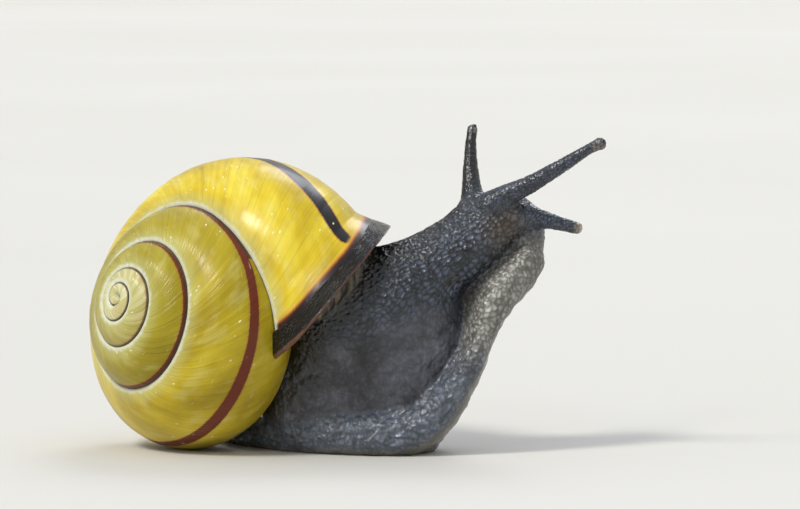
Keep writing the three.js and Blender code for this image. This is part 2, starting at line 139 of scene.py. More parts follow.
def cells(points, seed=0):
    """For a foam of cells about one unit wide: a bead's height at each point, from 0 between the
    cells to 1 in the middle of one, and a number from 0 to 1 that stays the same all over a cell."""
    base = np.floor(points)
    nearest, second = np.full((2, len(points)), np.inf)
    shade = np.zeros(len(points))
    for offset in np.ndindex(3, 3, 3):
        cell = base + np.array(offset) - 1
        jitter = np.stack([lattice_random(cell, seed + k) for k in range(3)], axis=-1)
        away = np.linalg.norm(points - cell - (1 - CELL_JITTER) / 2 - CELL_JITTER * jitter, axis=1)
        closer = away < nearest
        second = np.where(closer, nearest, np.minimum(second, away))
        shade = np.where(closer, lattice_random(cell, seed + 7), shade)
        nearest = np.where(closer, away, nearest)
    dome = 1 - BEAD_FALL * np.clip(nearest / BEAD_REACH, 0, 1) ** 2
    return np.clip(dome * smoothstep(*CREASE_WIDTH, second - nearest) - 0.05, 0, 1), shade


def distance_to_path(points, path):
    """Distance from each point to a line through a few places, and how far along it that is (0 to 1)."""
    best = np.full(len(points), np.inf)
    along = np.zeros(len(points))
    count = len(path) - 1
    for i in range(count):
        start, way = path[i], path[i + 1] - path[i]
        t = np.clip((points - start) @ way / (way @ way), 0, 1)
        away = np.linalg.norm(points - start - t[:, None] * way, axis=1)
        closer = away < best
        along = np.where(closer, (i + t) / count, along)
        best = np.where(closer, away, best)
    return best, along


# ---------------------------------------------------------------- the shell's shape

SHELL_RADIUS = 12.14  # from the axis to the widest point of the last whorl
GROWTH, GROWTH_SLOWING = 0.3325, 0.0475  # logarithm of the shrinking, a turn and a turn squared
INNER_RATIO, SECTION_RATIO = 0.014, 1.084  # of the tube's section: inner to outer radius, height to width
SPIRE_DEPTH, SPIRE_POWER = 11.0, 1.44  # the last whorl's depth below the apex, and the spire's doming
MOUTH_DROP, DROP_TURNS = 0.431, 80 / 360  # the last stretch drops, in half widths, over these turns
CORE_RADIUS = 0.3  # the tube stays this far from the axis on its mouth side
CORE_SHARE = 0.9  # and the wall keeps this share of its thickness there
SHELL_APEX = np.array([-14.41, -2.7, 10.65])
AXIS_AZIMUTH, AXIS_FROM_UPRIGHT, MOUTH_ROLL = -139.84, 76.54, 77.1  # degrees
MOUTH_NORMAL = unit(np.array([0.735, -0.047, -0.675]))  # the mouth lies in a plane with this normal
MOUTH_POINT = np.array([-0.47, -2.49, 10.22])  # through this place
SPIRE_SAG = 0.36  # the whorls of the spire sit this much lower than a straight coil's
SAG_BEGINS, SAG_FADES = (0.7, 1.25), (3.6, 5.2)  # turns over which that sets in, and dies out
COIL_END, NUCLEUS_LENGTH = 4.86, 0.2  # turns: where the coil begins, and how long its round tip is
MOUTH_SEARCH = (-0.3, 0.35)  # turns between which the mouth's edge lies all round
LIP_DEPTH = 1.5  # from the edge back
LIP_FLARE, LIP_TOP_FLARE, LIP_TOP_CURL = 1.0, 0.5, 0.45  # outward, more at the top, and back there
LIP_NARROW, LIP_WIDE = 0.8, 1.2  # the dark lip's least and greatest width, as shares of its profile's
FLARE_DEPTH, FLARE_CURVE = 2.8, 1.12  # how far behind its edge the shell begins to open, and how roundly
CORNER_RECESS = 0.6  # the edge draws back this far where it meets the last whorl
CORNER_SPAN = (math.radians(48), math.radians(92))
LIP_TOP = math.radians(-35)  # the angle round the tube at which the lip is widest
LIP_ENDS = (math.radians(35), math.radians(95))  # the flare dies out over these, at the last whorl
LIP_START, LIP_STOP = math.radians(88), math.radians(-176)  # the dark lip's ends
LIP_RUN_OUT = 0.75  # the flare runs out over this angle before it stops, at the axis
SHELL_WALL = 0.3
SHELL_INSET = 0.065  # keeps the ripples inside the solids' box
SEAM = math.radians(-176)  # the angle of the tube's edge that is hidden at the axis

SHELL_TURN = np.array(
    Matrix.Rotation(math.radians(AXIS_AZIMUTH), 3, "Z")
    @ Matrix.Rotation(math.radians(AXIS_FROM_UPRIGHT), 3, "Y")
    @ Matrix.Rotation(math.radians(MOUTH_ROLL), 3, "Z")
)
SAG_WAY = SHELL_TURN.T @ np.array([0, 0, -1.0])


def whorl(turns):
    """Middle radius, half width and depth below the apex of the tube, some turns back from the mouth."""
    outer = SHELL_RADIUS * np.exp(-GROWTH * turns - GROWTH_SLOWING * turns**2)
    half = outer * (1 - INNER_RATIO) / 2
    late = np.clip(1 - turns / DROP_TURNS, 0, None)
    depth = SPIRE_DEPTH * (outer / SHELL_RADIUS) ** SPIRE_POWER + MOUTH_DROP * half * late**2
    return outer - half, half, depth


def sag(turns):
    return SPIRE_SAG * smoothstep(*SAG_BEGINS, turns) * (1 - smoothstep(*SAG_FADES, turns))


def whorl_point(turns, angle, grow=0.0, size=1.0):
    """A point of the tube in the shell's own frame. The angle is 0 at the widest line and rises
    toward the apex. The tube stays a core's radius clear of the axis on its mouth side."""
    middle, half, depth = whorl(turns)
    core = np.where(np.sin(angle) > 0.01, 0, CORE_RADIUS - CORE_SHARE * grow)
    radius = np.maximum(middle + (half * size + grow) * np.cos(angle), core)
    height = (SECTION_RATIO * half * size + grow) * np.sin(angle) - depth
    place = np.stack([radius * np.cos(TURN * turns), radius * np.sin(TURN * turns), height], axis=-1)
    return place + sag(turns)[..., None] * SAG_WAY


def in_model_frame(places):
    return places @ SHELL_TURN.T + SHELL_APEX


def in_tube(places, turns):
    """How far out places lie in the tube's section on their side of the axis: 1 is its wall."""
    places = places - sag(turns)[..., None] * SAG_WAY
    middle, half, depth = whorl(turns)
    across = (np.hypot(places[..., 0], places[..., 1]) - middle) / half
    along = (places[..., 2] + depth) / (SECTION_RATIO * half)
    return np.hypot(across, along)


def suture_angles(turns):
    """Where a whorl meets its neighbours: the angle on its apex side, and on its mouth side."""
    step = 0.1  # degrees
    rising = np.radians(np.arange(30, 180, step))
    grid, angles = np.meshgrid(turns, rising, indexing="ij")
    hidden = in_tube(whorl_point(grid, angles), grid + 1) < 1
    upper = np.where(hidden.any(1), rising[hidden.argmax(1)], np.pi)
    upper += (np.pi - upper) * smoothstep(COIL_END - 1.14, COIL_END - 1.02, turns)  # the inmost turn
    falling = np.radians(np.arange(80, -100, -step))
    grid, angles = np.meshgrid(turns, falling, indexing="ij")
    hidden = in_tube(whorl_point(grid, angles), grid - 1) < 1
    hidden &= np.cumsum(~hidden, axis=1) > 0  # only where the tube has been in the open before
    lower = np.where(hidden.any(1), falling[hidden.argmax(1)], -np.pi / 2)
    return upper, lower


def ahead_of_mouth(places):
    """Distance in front of the plane in which the shell's mouth lies."""
    return (in_model_frame(places) - MOUTH_POINT) @ MOUTH_NORMAL


def mouth_turns(angle, behind=0.0):
    """Where the tube's surface at an angle crosses a plane some way behind the mouth's plane, found
    by halving the stretch that it must lie in."""
    near, far = (np.full(np.shape(angle), turns) for turns in MOUTH_SEARCH)
    for _ in range(32):
        middle = (near + far) / 2
        outside = ahead_of_mouth(whorl_point(middle, angle)) > -behind
        near = np.where(outside, middle, near)
        far = np.where(outside, far, middle)
    return near


def edge_recess(angle):
    return CORNER_RECESS * smoothstep(*CORNER_SPAN, angle)


def mouth_outward(angle):
    """The way out from the mouth's outline, square to it, in the mouth's plane."""
    table = np.radians(np.arange(-185, 186, 1.0))
    outline = in_model_frame(whorl_point(mouth_turns(table, LIP_DEPTH / 2), table))
    ways = unit(np.cross(np.gradient(outline, axis=0), MOUTH_NORMAL))
    return unit(np.stack([np.interp(angle, table, ways[:, i]) for i in range(3)], axis=-1))


def lip_top(angle):
    return np.clip(np.cos(angle - LIP_TOP), 0, None) ** 2


def lip_width(angle):
    """The dark lip's width, as a share of its profile's: it is widest at the top."""
    return LIP_NARROW + (LIP_WIDE - LIP_NARROW) * lip_top(angle) ** 2


def flared(angle, behind):
    """How far and which way the shell bends near its mouth."""
    share = np.clip(1 - behind / FLARE_DEPTH, 0, 1) ** FLARE_CURVE
    run_out = (1 - smoothstep(*LIP_ENDS, angle)) * smoothstep(LIP_STOP, LIP_STOP + LIP_RUN_OUT, angle)
    outward = (LIP_FLARE + LIP_TOP_FLARE * lip_top(angle)) * run_out * share
    curl = LIP_TOP_CURL * lip_top(angle) * share**3
    return outward[..., None] * mouth_outward(angle) - curl[..., None] * MOUTH_NORMAL


# ---------------------------------------------------------------- the shell's meshes

LAST_WHORL, ROW_CROWDING = 1.3, 1.25  # turns with the closest rows, and how the others crowd to them
LAST_WHORL_ROWS, SPIRE_ROWS, SHELL_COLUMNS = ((560, 900, 84))
MOUTH_BLEND = 0.6  # turns over which the mesh's rows turn from the mouth's plane to the axis
FIRST_COVERED = 1.12  # turns: from here on the next whorl lies over the tube's mouth side
COVERED_FROM = (1.2, 1.45)  # turns over which the covered stretch of wall is left out
UNDER_SEAM = math.radians(3)  # all but this much, which reaches under the whorl that covers it
ROUND_TO = math.radians(100)  # the mouth's edge is followed round up to this angle
NEAR_MOUTH = 0.4  # turns in which the distance to the mouth's edge matters
FAR_OFF = 9.0  # mm: stands for a distance that is out of reach
SHELL_RIPPLES = [(0.024, 2.6, 5), (0.014, 0.5, 6)]  # height and length, mm, and the noise's seed
SUTURE_DIP, SUTURE_WIDTH = 0.09, 0.22  # mm
FULL_RELIEF_HALF = 4.0  # mm: a tube with a smaller half width has less relief
BAND_PATH = [  # turns back, degrees round the section, half width in mm
    (0.0, 9, 0.35), (0.122, 9.5, 0.4), (0.14, 11, 0.5), (0.2, 12, 0.56), (0.27, 11, 0.5), (0.33, 10, 0.4),
    (0.6, 11, 0.42), (0.9, 12, 0.42), (0.95, 12.5, 0.39), (1.0, 13, 0.34), (1.1, 17, 0.3), (1.2, 24, 0.25),
    (1.5, 26, 0.2), (2.0, 27, 0.16), (2.2, 32, 0.12), (2.5, 36, 0.05), (3.0, 40, 0.0), (4.0, 55, -0.1),
]
BAND_END = 0.122  # the band stops this many turns before the mouth


def winding_length():
    """A table of turns and the length of the tube's widest line up to there."""
    turns = np.linspace(-0.4, 6, 1200)
    middle, half, _ = whorl(turns)
    steps = np.diff(turns) * TURN * (middle + half)[:-1]
    return turns, np.append(0, np.cumsum(steps))


def closed_sheet(rows, columns):
    """Faces of a sheet with a front, a back and four edges. The back's points follow the front's."""
    count = rows * columns
    front = grid_faces(rows, columns)
    back = [tuple(count + corner for corner in face[::-1]) for face in front]
    rim = [i * columns for i in range(rows)]
    rim += [(rows - 1) * columns + j for j in range(1, columns)]
    rim += [i * columns + columns - 1 for i in range(rows - 2, -1, -1)]
    rim += [j for j in range(columns - 2, 0, -1)]
    edge = [(a, b, count + b, count + a) for a, b in zip(rim, rim[1:] + rim[:1])]
    return [face[::-1] for face in front + back + edge]


def shell_angles(turns):
    """The angles of the mesh's points in each row, and the angles of the sutures. The stretch that
    the next whorl covers is left out of the rows that lie behind it."""
    upper, lower = suture_angles(turns)
    low = SEAM + (lower - UNDER_SEAM - SEAM) * smoothstep(*COVERED_FROM, turns)
    low += (SEAM - low) * smoothstep(COIL_END - 0.5, COIL_END - 0.2, turns)
    return low[:, None] + (upper - low)[:, None] * np.linspace(0, 1, SHELL_COLUMNS), upper, lower


def from_band(turns, angles, middle, half):
    """How far outside the dark band's edge each point lies, mm."""
    path_turns, path_degrees, path_half = np.array(BAND_PATH).T
    beside = (angles - np.radians(np.interp(turns, path_turns, path_degrees))) * half
    past_end = np.clip(BAND_END - turns, 0, None) * TURN * (middle + half)
    return np.hypot(beside, past_end) - np.interp(turns, path_turns, path_half)


def build_shell():
    """The whole tube as one curled wall, from its edge at the mouth to the round tip of the coil.
    What the next whorl hides of it lies inside that whorl, or is left out."""
    rows = np.concatenate([
        np.linspace(0, LAST_WHORL, LAST_WHORL_ROWS, endpoint=False),
        LAST_WHORL + (COIL_END - LAST_WHORL) * np.linspace(0, 1, SPIRE_ROWS) ** ROW_CROWDING,
    ])
    angles, upper, lower = shell_angles(rows)
    round_to = np.clip(angles, -np.pi, ROUND_TO)
    recess = edge_recess(round_to)
    at_mouth = mouth_turns(round_to, recess)
    turns = np.repeat(rows[:, None], SHELL_COLUMNS, axis=1)
    turns += at_mouth * np.clip(1 - turns / MOUTH_BLEND, 0, 1) ** 2
    middle, half, _ = whorl(turns)
    tip = np.clip(1 - (COIL_END - turns) / NUCLEUS_LENGTH, 0, 1)
    size = np.sqrt(1 - tip**2)
    from_suture = (upper[:, None] - angles) * half
    from_lower = np.where(rows[:, None] > FIRST_COVERED, (angles - lower[:, None]) * half, FAR_OFF)
    ahead = ahead_of_mouth(whorl_point(turns, angles))
    behind = np.where(turns < NEAR_MOUTH, -ahead - recess, FAR_OFF)
    growth = np.interp(turns - at_mouth, *winding_length())
    ripple = sum(
        height * flat_noise(growth / length, angles * 0.4, seed) for height, length, seed in SHELL_RIPPLES
    )
    grow = (ripple - SHELL_INSET) * np.clip(half / FULL_RELIEF_HALF, 0.1, 1)
    grow -= SUTURE_DIP * np.clip(1 - from_suture / SUTURE_WIDTH, 0, 1) ** 2
    bend = flared(angles, behind)
    outer = in_model_frame(whorl_point(turns, angles, grow, size)) + bend
    wall = np.minimum(SHELL_WALL, 0.5 * half * size)
    inner = in_model_frame(whorl_point(turns, angles, -wall, size)) + bend
    facts = {
        "band": from_band(turns, angles, middle, half),
        "from_suture": from_suture,
        "from_lower": from_lower,
        "behind_lip": behind / lip_width(angles),
        "growth": growth,
        "turns": turns,
        "across": angles * half,
    }
    facts = {key: np.tile(value.ravel(), 2) for key, value in facts.items()}
    facts["inside"] = np.repeat([0.0, 1.0], turns.size)
    places = np.concatenate([outer.reshape(-1, 3), inner.reshape(-1, 3)])
    places[:, 2] = np.maximum(places[:, 2], 0)
    return mesh_object("shell", places, closed_sheet(*turns.shape), facts)


LIP_PROFILE = [  # distance behind the edge and lift above the shell's outer face, mm
    (1.42, -0.06), (1.36, 0.0), (1.2, 0.035), (0.95, 0.06), (0.6, 0.09), (0.3, 0.1), (0.1, 0.085),
    (-0.03, 0.04), (-0.1, -0.05), (-0.13, -0.2), (-0.11, -0.34), (-0.02, -0.46), (0.2, -0.54),
    (0.6, -0.57), (1.0, -0.56), (1.4, -0.54), (1.5, -0.3),
]
LIP_ROWS = 420
LIP_ROUNDING, LIP_BLUNT = 0.16, 0.12  # the end at the last whorl narrows over this angle to this share
LIP_TAPER, LIP_SLIM = 0.9, 0.3  # and so does the other end, at the axis
LIP_SINK, LIP_LOW = 0.3, 0.25  # there it sinks over this angle; both ends keep this share of its lift
LIP_WAVE, LIP_KNOCKS = 0.02, 0.045  # mm: how uneven the lip is, along it and all over
KNOCKS_STOP = 1.3  # mm behind the edge: there are no knocks further back


def build_lip():
    """A thick dark strip folded round the shell's edge, narrower at both ends."""
    share = np.linspace(0, 1, LIP_ROWS)[:, None]
    share = 0.25 * share + 0.75 * share**1.35  # rows lie closer together where the lip starts
    angle = LIP_START + (LIP_STOP - LIP_START) * share
    behind, lift = np.array(LIP_PROFILE).T
    started = np.clip((LIP_START - angle) / LIP_ROUNDING, 0, 1)
    width = np.sqrt(1 - (1 - started) ** 2)
    ends = np.minimum(width, smoothstep(LIP_STOP, LIP_STOP + LIP_SINK, angle))
    tapered = LIP_SLIM + (1 - LIP_SLIM) * smoothstep(LIP_STOP, LIP_STOP + LIP_TAPER, angle)
    narrowed = tapered * (LIP_BLUNT + (1 - LIP_BLUNT) * width)
    depth = behind * narrowed * np.where(behind > 0, lip_width(angle), 1)
    wave = LIP_WAVE * flat_noise(angle * 9, 0 * angle, 11)
    knocks = LIP_KNOCKS * flat_noise(angle * 16, 1.6 * depth, 12) * (behind < KNOCKS_STOP)
    round_to = angle + 0 * depth
    turns = mouth_turns(round_to, depth + edge_recess(round_to))
    grow = lift * (LIP_LOW + (1 - LIP_LOW) * ends) + (wave + knocks) * ends - SHELL_INSET
    places = in_model_frame(whorl_point(turns, round_to, grow)) + flared(round_to, np.clip(depth, 0, None))
    columns = len(LIP_PROFILE)
    faces = grid_faces(LIP_ROWS, columns, wrap=True)
    faces += [tuple(range(columns))[::-1], tuple((LIP_ROWS - 1) * columns + k for k in range(columns))]
    facts = {"behind_lip": behind + 0 * angle, "round_lip": angle * 6 + 0 * depth}
    return mesh_object("shell_lip_dark", places.reshape(-1, 3), faces, facts)


# ---------------------------------------------------------------- the soft body's shape

# Each part is a row of stations: the middle (x, y, z), half width, half thickness, and turn to the
# left in degrees. A feeler is round, so its stations have only a radius after the middle.
FOOT = [
    (-8.6, 11.0, 0.38, 0.75, 0.5, -55), (-7.7, 9.4, 0.45, 1.4, 0.8, -58), (-6.0, 6.7, 0.7, 2.3, 1.05, -52),
    (-3.8, 4.1, 1.0, 3.1, 1.3, -44), (-1.3, 1.9, 1.2, 3.6, 1.55, -30), (1.6, 0.4, 1.35, 3.75, 1.65, -12),
    (4.3, 0.0, 1.45, 3.75, 1.7, 0), (6.3, 0.0, 2.75, 3.7, 1.5, 3), (7.6, 0.0, 4.75, 3.6, 1.25, 6),
    (8.45, 0.05, 6.5, 3.5, 1.05, 10), (8.8, 0.15, 7.9, 3.4, 1.05, 14), (9.25, 0.25, 9.3, 3.3, 1.2, 18),
    (10.15, 0.5, 10.75, 3.15, 1.35, 22), (11.25, 0.85, 11.95, 2.8, 1.35, 26),
    (12.4, 1.35, 13.4, 2.1, 1.05, 30),
]
NECK = [
    (-1.6, 0.0, 9.6, 3.7, 2.8, 0), (1.7, 0.0, 9.9, 3.6, 3.1, 0), (4.0, 0.0, 10.9, 3.35, 2.85, 4),
    (6.0, 0.05, 12.15, 3.0, 2.4, 10), (7.8, 0.2, 13.35, 2.75, 2.2, 18), (9.4, 0.45, 14.55, 2.5, 1.95, 26),
]
HEAD = [
    (8.9, 0.4, 14.1, 2.45, 1.95, 24), (10.0, 0.65, 15.15, 2.4, 1.8, 27), (11.15, 1.0, 15.4, 2.15, 1.65, 29),
    (12.0, 1.35, 14.75, 1.75, 1.4, 30), (12.35, 1.5, 13.95, 1.4, 1.1, 30),
]
TRUNK = [
    (0.0, 1.1, 0.7, 3.0, 6.3, -12), (0.4, 0.9, 1.6, 3.0, 6.1, -8), (1.2, 0.35, 3.8, 2.9, 6.3, -4),
    (2.0, 0.1, 6.0, 2.9, 6.0, 0), (2.4, 0.0, 8.0, 3.05, 6.1, 2), (3.0, 0.0, 10.2, 3.15, 6.0, 6),
]
FEELERS = {
    "upper_tentacle_right": [
        (9.6, -0.5, 16.1, 0.95), (10.9, -1.0, 16.95, 0.7), (12.5, -1.5, 17.72, 0.57),
        (14.8, -2.2, 19.12, 0.43), (16.2, -2.6, 20.03, 0.33), (16.75, -2.76, 20.32, 0.34),
        (17.4, -2.93, 20.56, 0.36),
    ],
    "upper_tentacle_left": [
        (8.9, 1.9, 15.7, 1.0), (8.78, 2.35, 16.85, 0.7), (8.7, 3.1, 18.2, 0.52), (8.7, 4.2, 20.0, 0.36),
        (8.84, 4.95, 21.28, 0.3),
    ],
    "lower_tentacle_right": [
        (11.2, 0.1, 15.45, 0.95), (12.2, -0.25, 15.6, 0.7), (13.3, -0.42, 15.4, 0.58),
        (14.6, -0.62, 15.08, 0.43), (15.95, -0.82, 14.72, 0.37),
    ],
    "lower_tentacle_left": [
        (11.0, 2.2, 15.3, 0.8), (11.3, 2.95, 15.3, 0.6), (11.6, 3.8, 15.1, 0.5), (11.9, 4.9, 14.8, 0.38),
    ],
}
# The round ends of the upper feelers, which hold the eyes: middle and radius.
KNOBS = {"eye_right": ((17.02, -2.86, 20.46), 0.38), "eye_left": ((8.84, 4.87, 21.02), 0.32)}
LOBES = [(12.7, 0.4, 13.7), (12.05, 2.35, 13.7)]  # the soft lobes beside the mouth
LOBE_RADII = np.array([0.7, 0.62, 0.9])
FLESH = [
    "tail", "foot_middle", "foot_front", "trunk", "neck", "head", "oral_lobe_right", "oral_lobe_left",
    "mantle_collar", *FEELERS,
]
VOXEL = 0.16
FIELD_LOW, FIELD_HIGH = np.array([-10.5, -6.5, -0.8]), np.array([18.6, 12.8, 22.4])
FAR = 3.0  # mm: where nothing is near, the field holds this distance
EDGE_ROOM = 0.8  # mm: a part's distances are worked out this far outside it
AXES = [np.arange(low, high, VOXEL) for low, high in zip(FIELD_LOW, FIELD_HIGH)]


def window(low, high):
    """The part of the field's grid between two corners: its slices, and the places in it."""
    slices = tuple(
        slice(np.searchsorted(axis, a), np.searchsorted(axis, b)) for axis, a, b in zip(AXES, low, high)
    )
    places = np.stack(np.meshgrid(*[axis[s] for axis, s in zip(AXES, slices)], indexing="ij"), axis=-1)
    return slices, places


def empty_field():
    return np.full([len(axis) for axis in AXES], FAR)


def smooth_curve(stations, count):
    """Rows at even steps of a smooth curve through rows of numbers."""
    rows = np.array(stations, float)
    rows = np.vstack([2 * rows[0] - rows[1], rows, 2 * rows[-1] - rows[-2]])
    at = np.linspace(0, len(stations) - 1, count)
    k = np.minimum(at.astype(int), len(stations) - 2)
    t = (at - k)[:, None]
    a, b, c, d = (rows[k + i] for i in range(4))
    return 0.5 * (2 * b + (c - a) * t + (2 * a - 5 * b + 4 * c - d) * t**2 + (3 * b - a - 3 * c + d) * t**3)


def lengths_along(places):
    return np.append(0, np.cumsum(np.linalg.norm(np.diff(places, axis=0), axis=1)))


def section_ways(rows):
    """For stations along a part: the ways along it, to its left, and up through it."""
    along = unit(np.gradient(rows[:, :3], axis=0))
    yaw = np.radians(rows[:, 5])
    left = np.stack([-np.sin(yaw), np.cos(yaw), 0 * yaw], axis=-1)
    left = unit(left - along * (left * along).sum(1, keepdims=True))
    return along, left, np.cross(along, left)


def between(values, i, t):
    """What lies at a share t of the way from one station's value to the next one's."""
    return values[i] + t * (values[i + 1] - values[i])


def swept(stations, squareness=2.0, cap=0.6, pieces=4):
    """Distances to a part drawn along its stations, with rounded ends; negative inside."""
    field = empty_field()
    spans = (len(stations) - 1) * pieces
    rows = smooth_curve(stations, 4 * spans + 1)
    passed = lengths_along(rows[:, :3])
    kept = np.linspace(cap, passed[-1] - cap, spans + 1)
    rows = np.stack([np.interp(kept, passed, column) for column in rows.T], axis=-1)
    middle, wide, thick = rows[:, :3], rows[:, 3], rows[:, 4]
    ways_along, ways_left, ways_up = section_ways(rows)
    for i in range(spans):
        ends = middle[i : i + 2]
        reach = rows[i : i + 2, 3:5].max() + EDGE_ROOM
        slices, places = window(ends.min(0) - reach, ends.max(0) + reach)
        way = ends[1] - ends[0]
        t = np.clip((places - ends[0]) @ way / (way @ way), 0, 1)
        away = places - ends[0] - t[..., None] * way
        across, above, ahead = (
            sum(away[..., k] * between(ways[:, k], i, t) for k in range(3))
            for ways in (ways_left, ways_up, ways_along)
        )
        half_width, half_thickness = between(wide, i, t), between(thick, i, t)
        share = np.abs(across / half_width) ** squareness + np.abs(above / half_thickness) ** squareness
        at_end = (i == 0) & (t == 0) | (i == spans - 1) & (t == 1)
        end_depth = np.where(at_end, cap, np.minimum(half_width, half_thickness))
        share = np.hypot(share ** (1 / squareness), ahead / end_depth)
        distance = np.sqrt((away**2).sum(-1)) * (1 - 1 / np.maximum(share, 1e-4))
        field[slices] = np.minimum(field[slices], distance)
    return field


def merged(first, second, width):
    """Both shapes as one, with a fillet about as wide as said."""
    share = np.clip(0.5 + 0.5 * (second - first) / width, 0, 1)
    return second + (first - second) * share - width * share * (1 - share)


def ball_field(centre, radii):
    field = empty_field()
    slices, places = window(centre - radii - 1, centre + radii + 1)
    away = places - centre
    share = np.sqrt(((away / radii) ** 2).sum(-1))
    field[slices] = np.sqrt((away**2).sum(-1)) * (1 - 1 / np.maximum(share, 1e-3))
    return field


def press(field, path, width, depth):
    """Presses a soft groove into a field along a path, fading out at both ends."""
    path = smooth_curve(path, 5 * len(path))
    slices, places = window(path.min(0) - 3 * width, path.max(0) + 3 * width)
    away, along = distance_to_path(places.reshape(-1, 3), path)
    fade = np.clip(4 * np.minimum(along, 1 - along), 0, 1)
    field[slices] += (depth * fade * np.exp(-((away / width) ** 2))).reshape(places.shape[:3])


def round_the_mouth(places):
    """How far places lie outside the last whorl's wall and ahead of its mouth's plane, and their
    angle round the tube."""
    own = (places - SHELL_APEX) @ SHELL_TURN
    turns = -np.arctan2(-own[..., 1], own[..., 0]) / TURN
    turns = np.where(turns > 0.5, turns - 1, turns)
    middle, half, depth = whorl(turns)
    wall = (in_tube(own, turns) - 1) * half
    angle = np.arctan2(own[..., 2] + depth, np.hypot(own[..., 0], own[..., 1]) - middle)
    return wall, (places - MOUTH_POINT) @ MOUTH_NORMAL, angle


COLLAR_RADIUS, COLLAR_FROM_WALL, COLLAR_BEHIND = 0.62, 1.05, 0.2  # the soft rim in the mouth
COLLAR_DRAWN_IN = 1.4  # it draws back this much where the mouth meets the last whorl
COLLAR_CORNER = (math.radians(38), math.radians(70))
PLUG_HALF, PLUG_FROM_WALL, PLUG_BEHIND = 0.8, 0.5, 0.95  # the flesh behind the rim, right across


def collar_field():
    """A thick ring of flesh that fills the shell's mouth, just inside the lip."""
    low, high = node_corners("mantle_collar")
    slices, places = window(low - EDGE_ROOM, high + EDGE_ROOM)
    wall, ahead, angle = round_the_mouth(places)
    drawn_in = COLLAR_DRAWN_IN * smoothstep(*COLLAR_CORNER, angle)
    ring = np.hypot(wall + COLLAR_FROM_WALL, ahead + COLLAR_BEHIND + drawn_in) - COLLAR_RADIUS
    plug = np.abs(ahead + PLUG_BEHIND + 0.6 * drawn_in) - PLUG_HALF
    plug = np.maximum(plug, wall + PLUG_FROM_WALL)
    field = empty_field()
    field[slices] = merged(ring, plug, 0.3)
    return field


# Two along the foot's edge and the mouth's slit, each a path and its width and depth, mm.
GROOVES = [
    ([(11.6, -1.9, 14.0), (10.6, -2.3, 13.3), (9.6, -2.8, 12.4), (8.9, -3.1, 11.2), (8.3, -3.2, 9.8),
      (8.0, -3.2, 8.4), (7.9, -3.2, 7.0)], 0.4, 0.45),
    ([(11.0, 4.0, 14.0), (10.0, 4.0, 13.3), (8.8, 3.9, 12.4), (8.0, 3.8, 11.2), (7.6, 3.6, 9.8),
      (7.5, 3.5, 8.4), (7.5, 3.4, 7.0)], 0.4, 0.45),
    ([(12.9, 1.5, 15.1), (13.2, 1.55, 14.5), (13.1, 1.5, 13.9), (12.8, 1.45, 13.5)], 0.2, 0.35),
]


def body_parts():
    """The field of each part of the body, by its name."""
    feelers = [swept([(*row, row[3], 60) for row in stations], cap=0.3) for stations in FEELERS.values()]
    knobs = [ball_field(np.array(centre), np.full(3, radius)) for centre, radius in KNOBS.values()]
    return {
        "trunk": swept(TRUNK, 2.4),
        "neck": swept(NECK, 2.1),
        "head": swept(HEAD, cap=0.9),
        "foot": swept(FOOT, 2.7, cap=0.8, pieces=3),
        "lobes": np.minimum(*[ball_field(np.array(centre), LOBE_RADII) for centre in LOBES]),
        "collar": collar_field(),
        "feelers": merged(np.minimum.reduce(feelers), np.minimum(*knobs), 0.15),
    }


def body_field(parts):
    """All the parts as one body, with the width of the fillet where each joins, cut flat at the floor."""
    body = parts["trunk"]
    for name, fillet in (("neck", 2.0), ("head", 1.2), ("foot", 0.6), ("lobes", 1.2)):
        body = merged(body, parts[name], fillet)
    for path, width, depth in GROOVES:
        press(body, path, width, depth)
    for name, fillet in (("feelers", 0.7), ("collar", 0.3)):
        body = merged(body, parts[name], fillet)
    return np.maximum(body, -np.broadcast_to(AXES[2], body.shape))


def field_at(field, places):
    """Values of a field between its grid's points."""
    at = (places - FIELD_LOW) / VOXEL
    base = np.clip(np.floor(at).astype(int), 0, np.array(field.shape) - 2)
    part = np.clip(at - base, 0, 1)
    total = np.zeros(len(places))
    for corner in np.ndindex(2, 2, 2):
        share = np.prod(np.where(corner, part, 1 - part), axis=1)
        total += share * field[tuple((base + corner).T)]
    return total


def vertex_values(vectors, key):
    """One row of three numbers for each point of a mesh."""
    values = np.empty(len(vectors) * 3, np.float32)
    vectors.foreach_get(key, values)
    return values.reshape(-1, 3).astype(float)


def field_mesh(field):
    """A fine smooth mesh of the surface where a field is zero."""
    grid = openvdb.FloatGrid(FAR)
    grid.copyFromArray(field.astype(np.float32))
    points, quads = grid.convertToQuads(0.0)
    piece = mesh_object("flesh_blank", points * VOXEL + FIELD_LOW, [q[::-1] for q in quads.tolist()])
    divide = piece.modifiers.new("divide", "SUBSURF")
    divide.levels = 1
    relax = piece.modifiers.new("relax", "SMOOTH")
    relax.iterations = 3
    shown = piece.evaluated_get(bpy.context.evaluated_depsgraph_get())
    mesh = bpy.data.meshes.new_from_object(shown)
    bpy.data.objects.remove(piece)
    return mesh


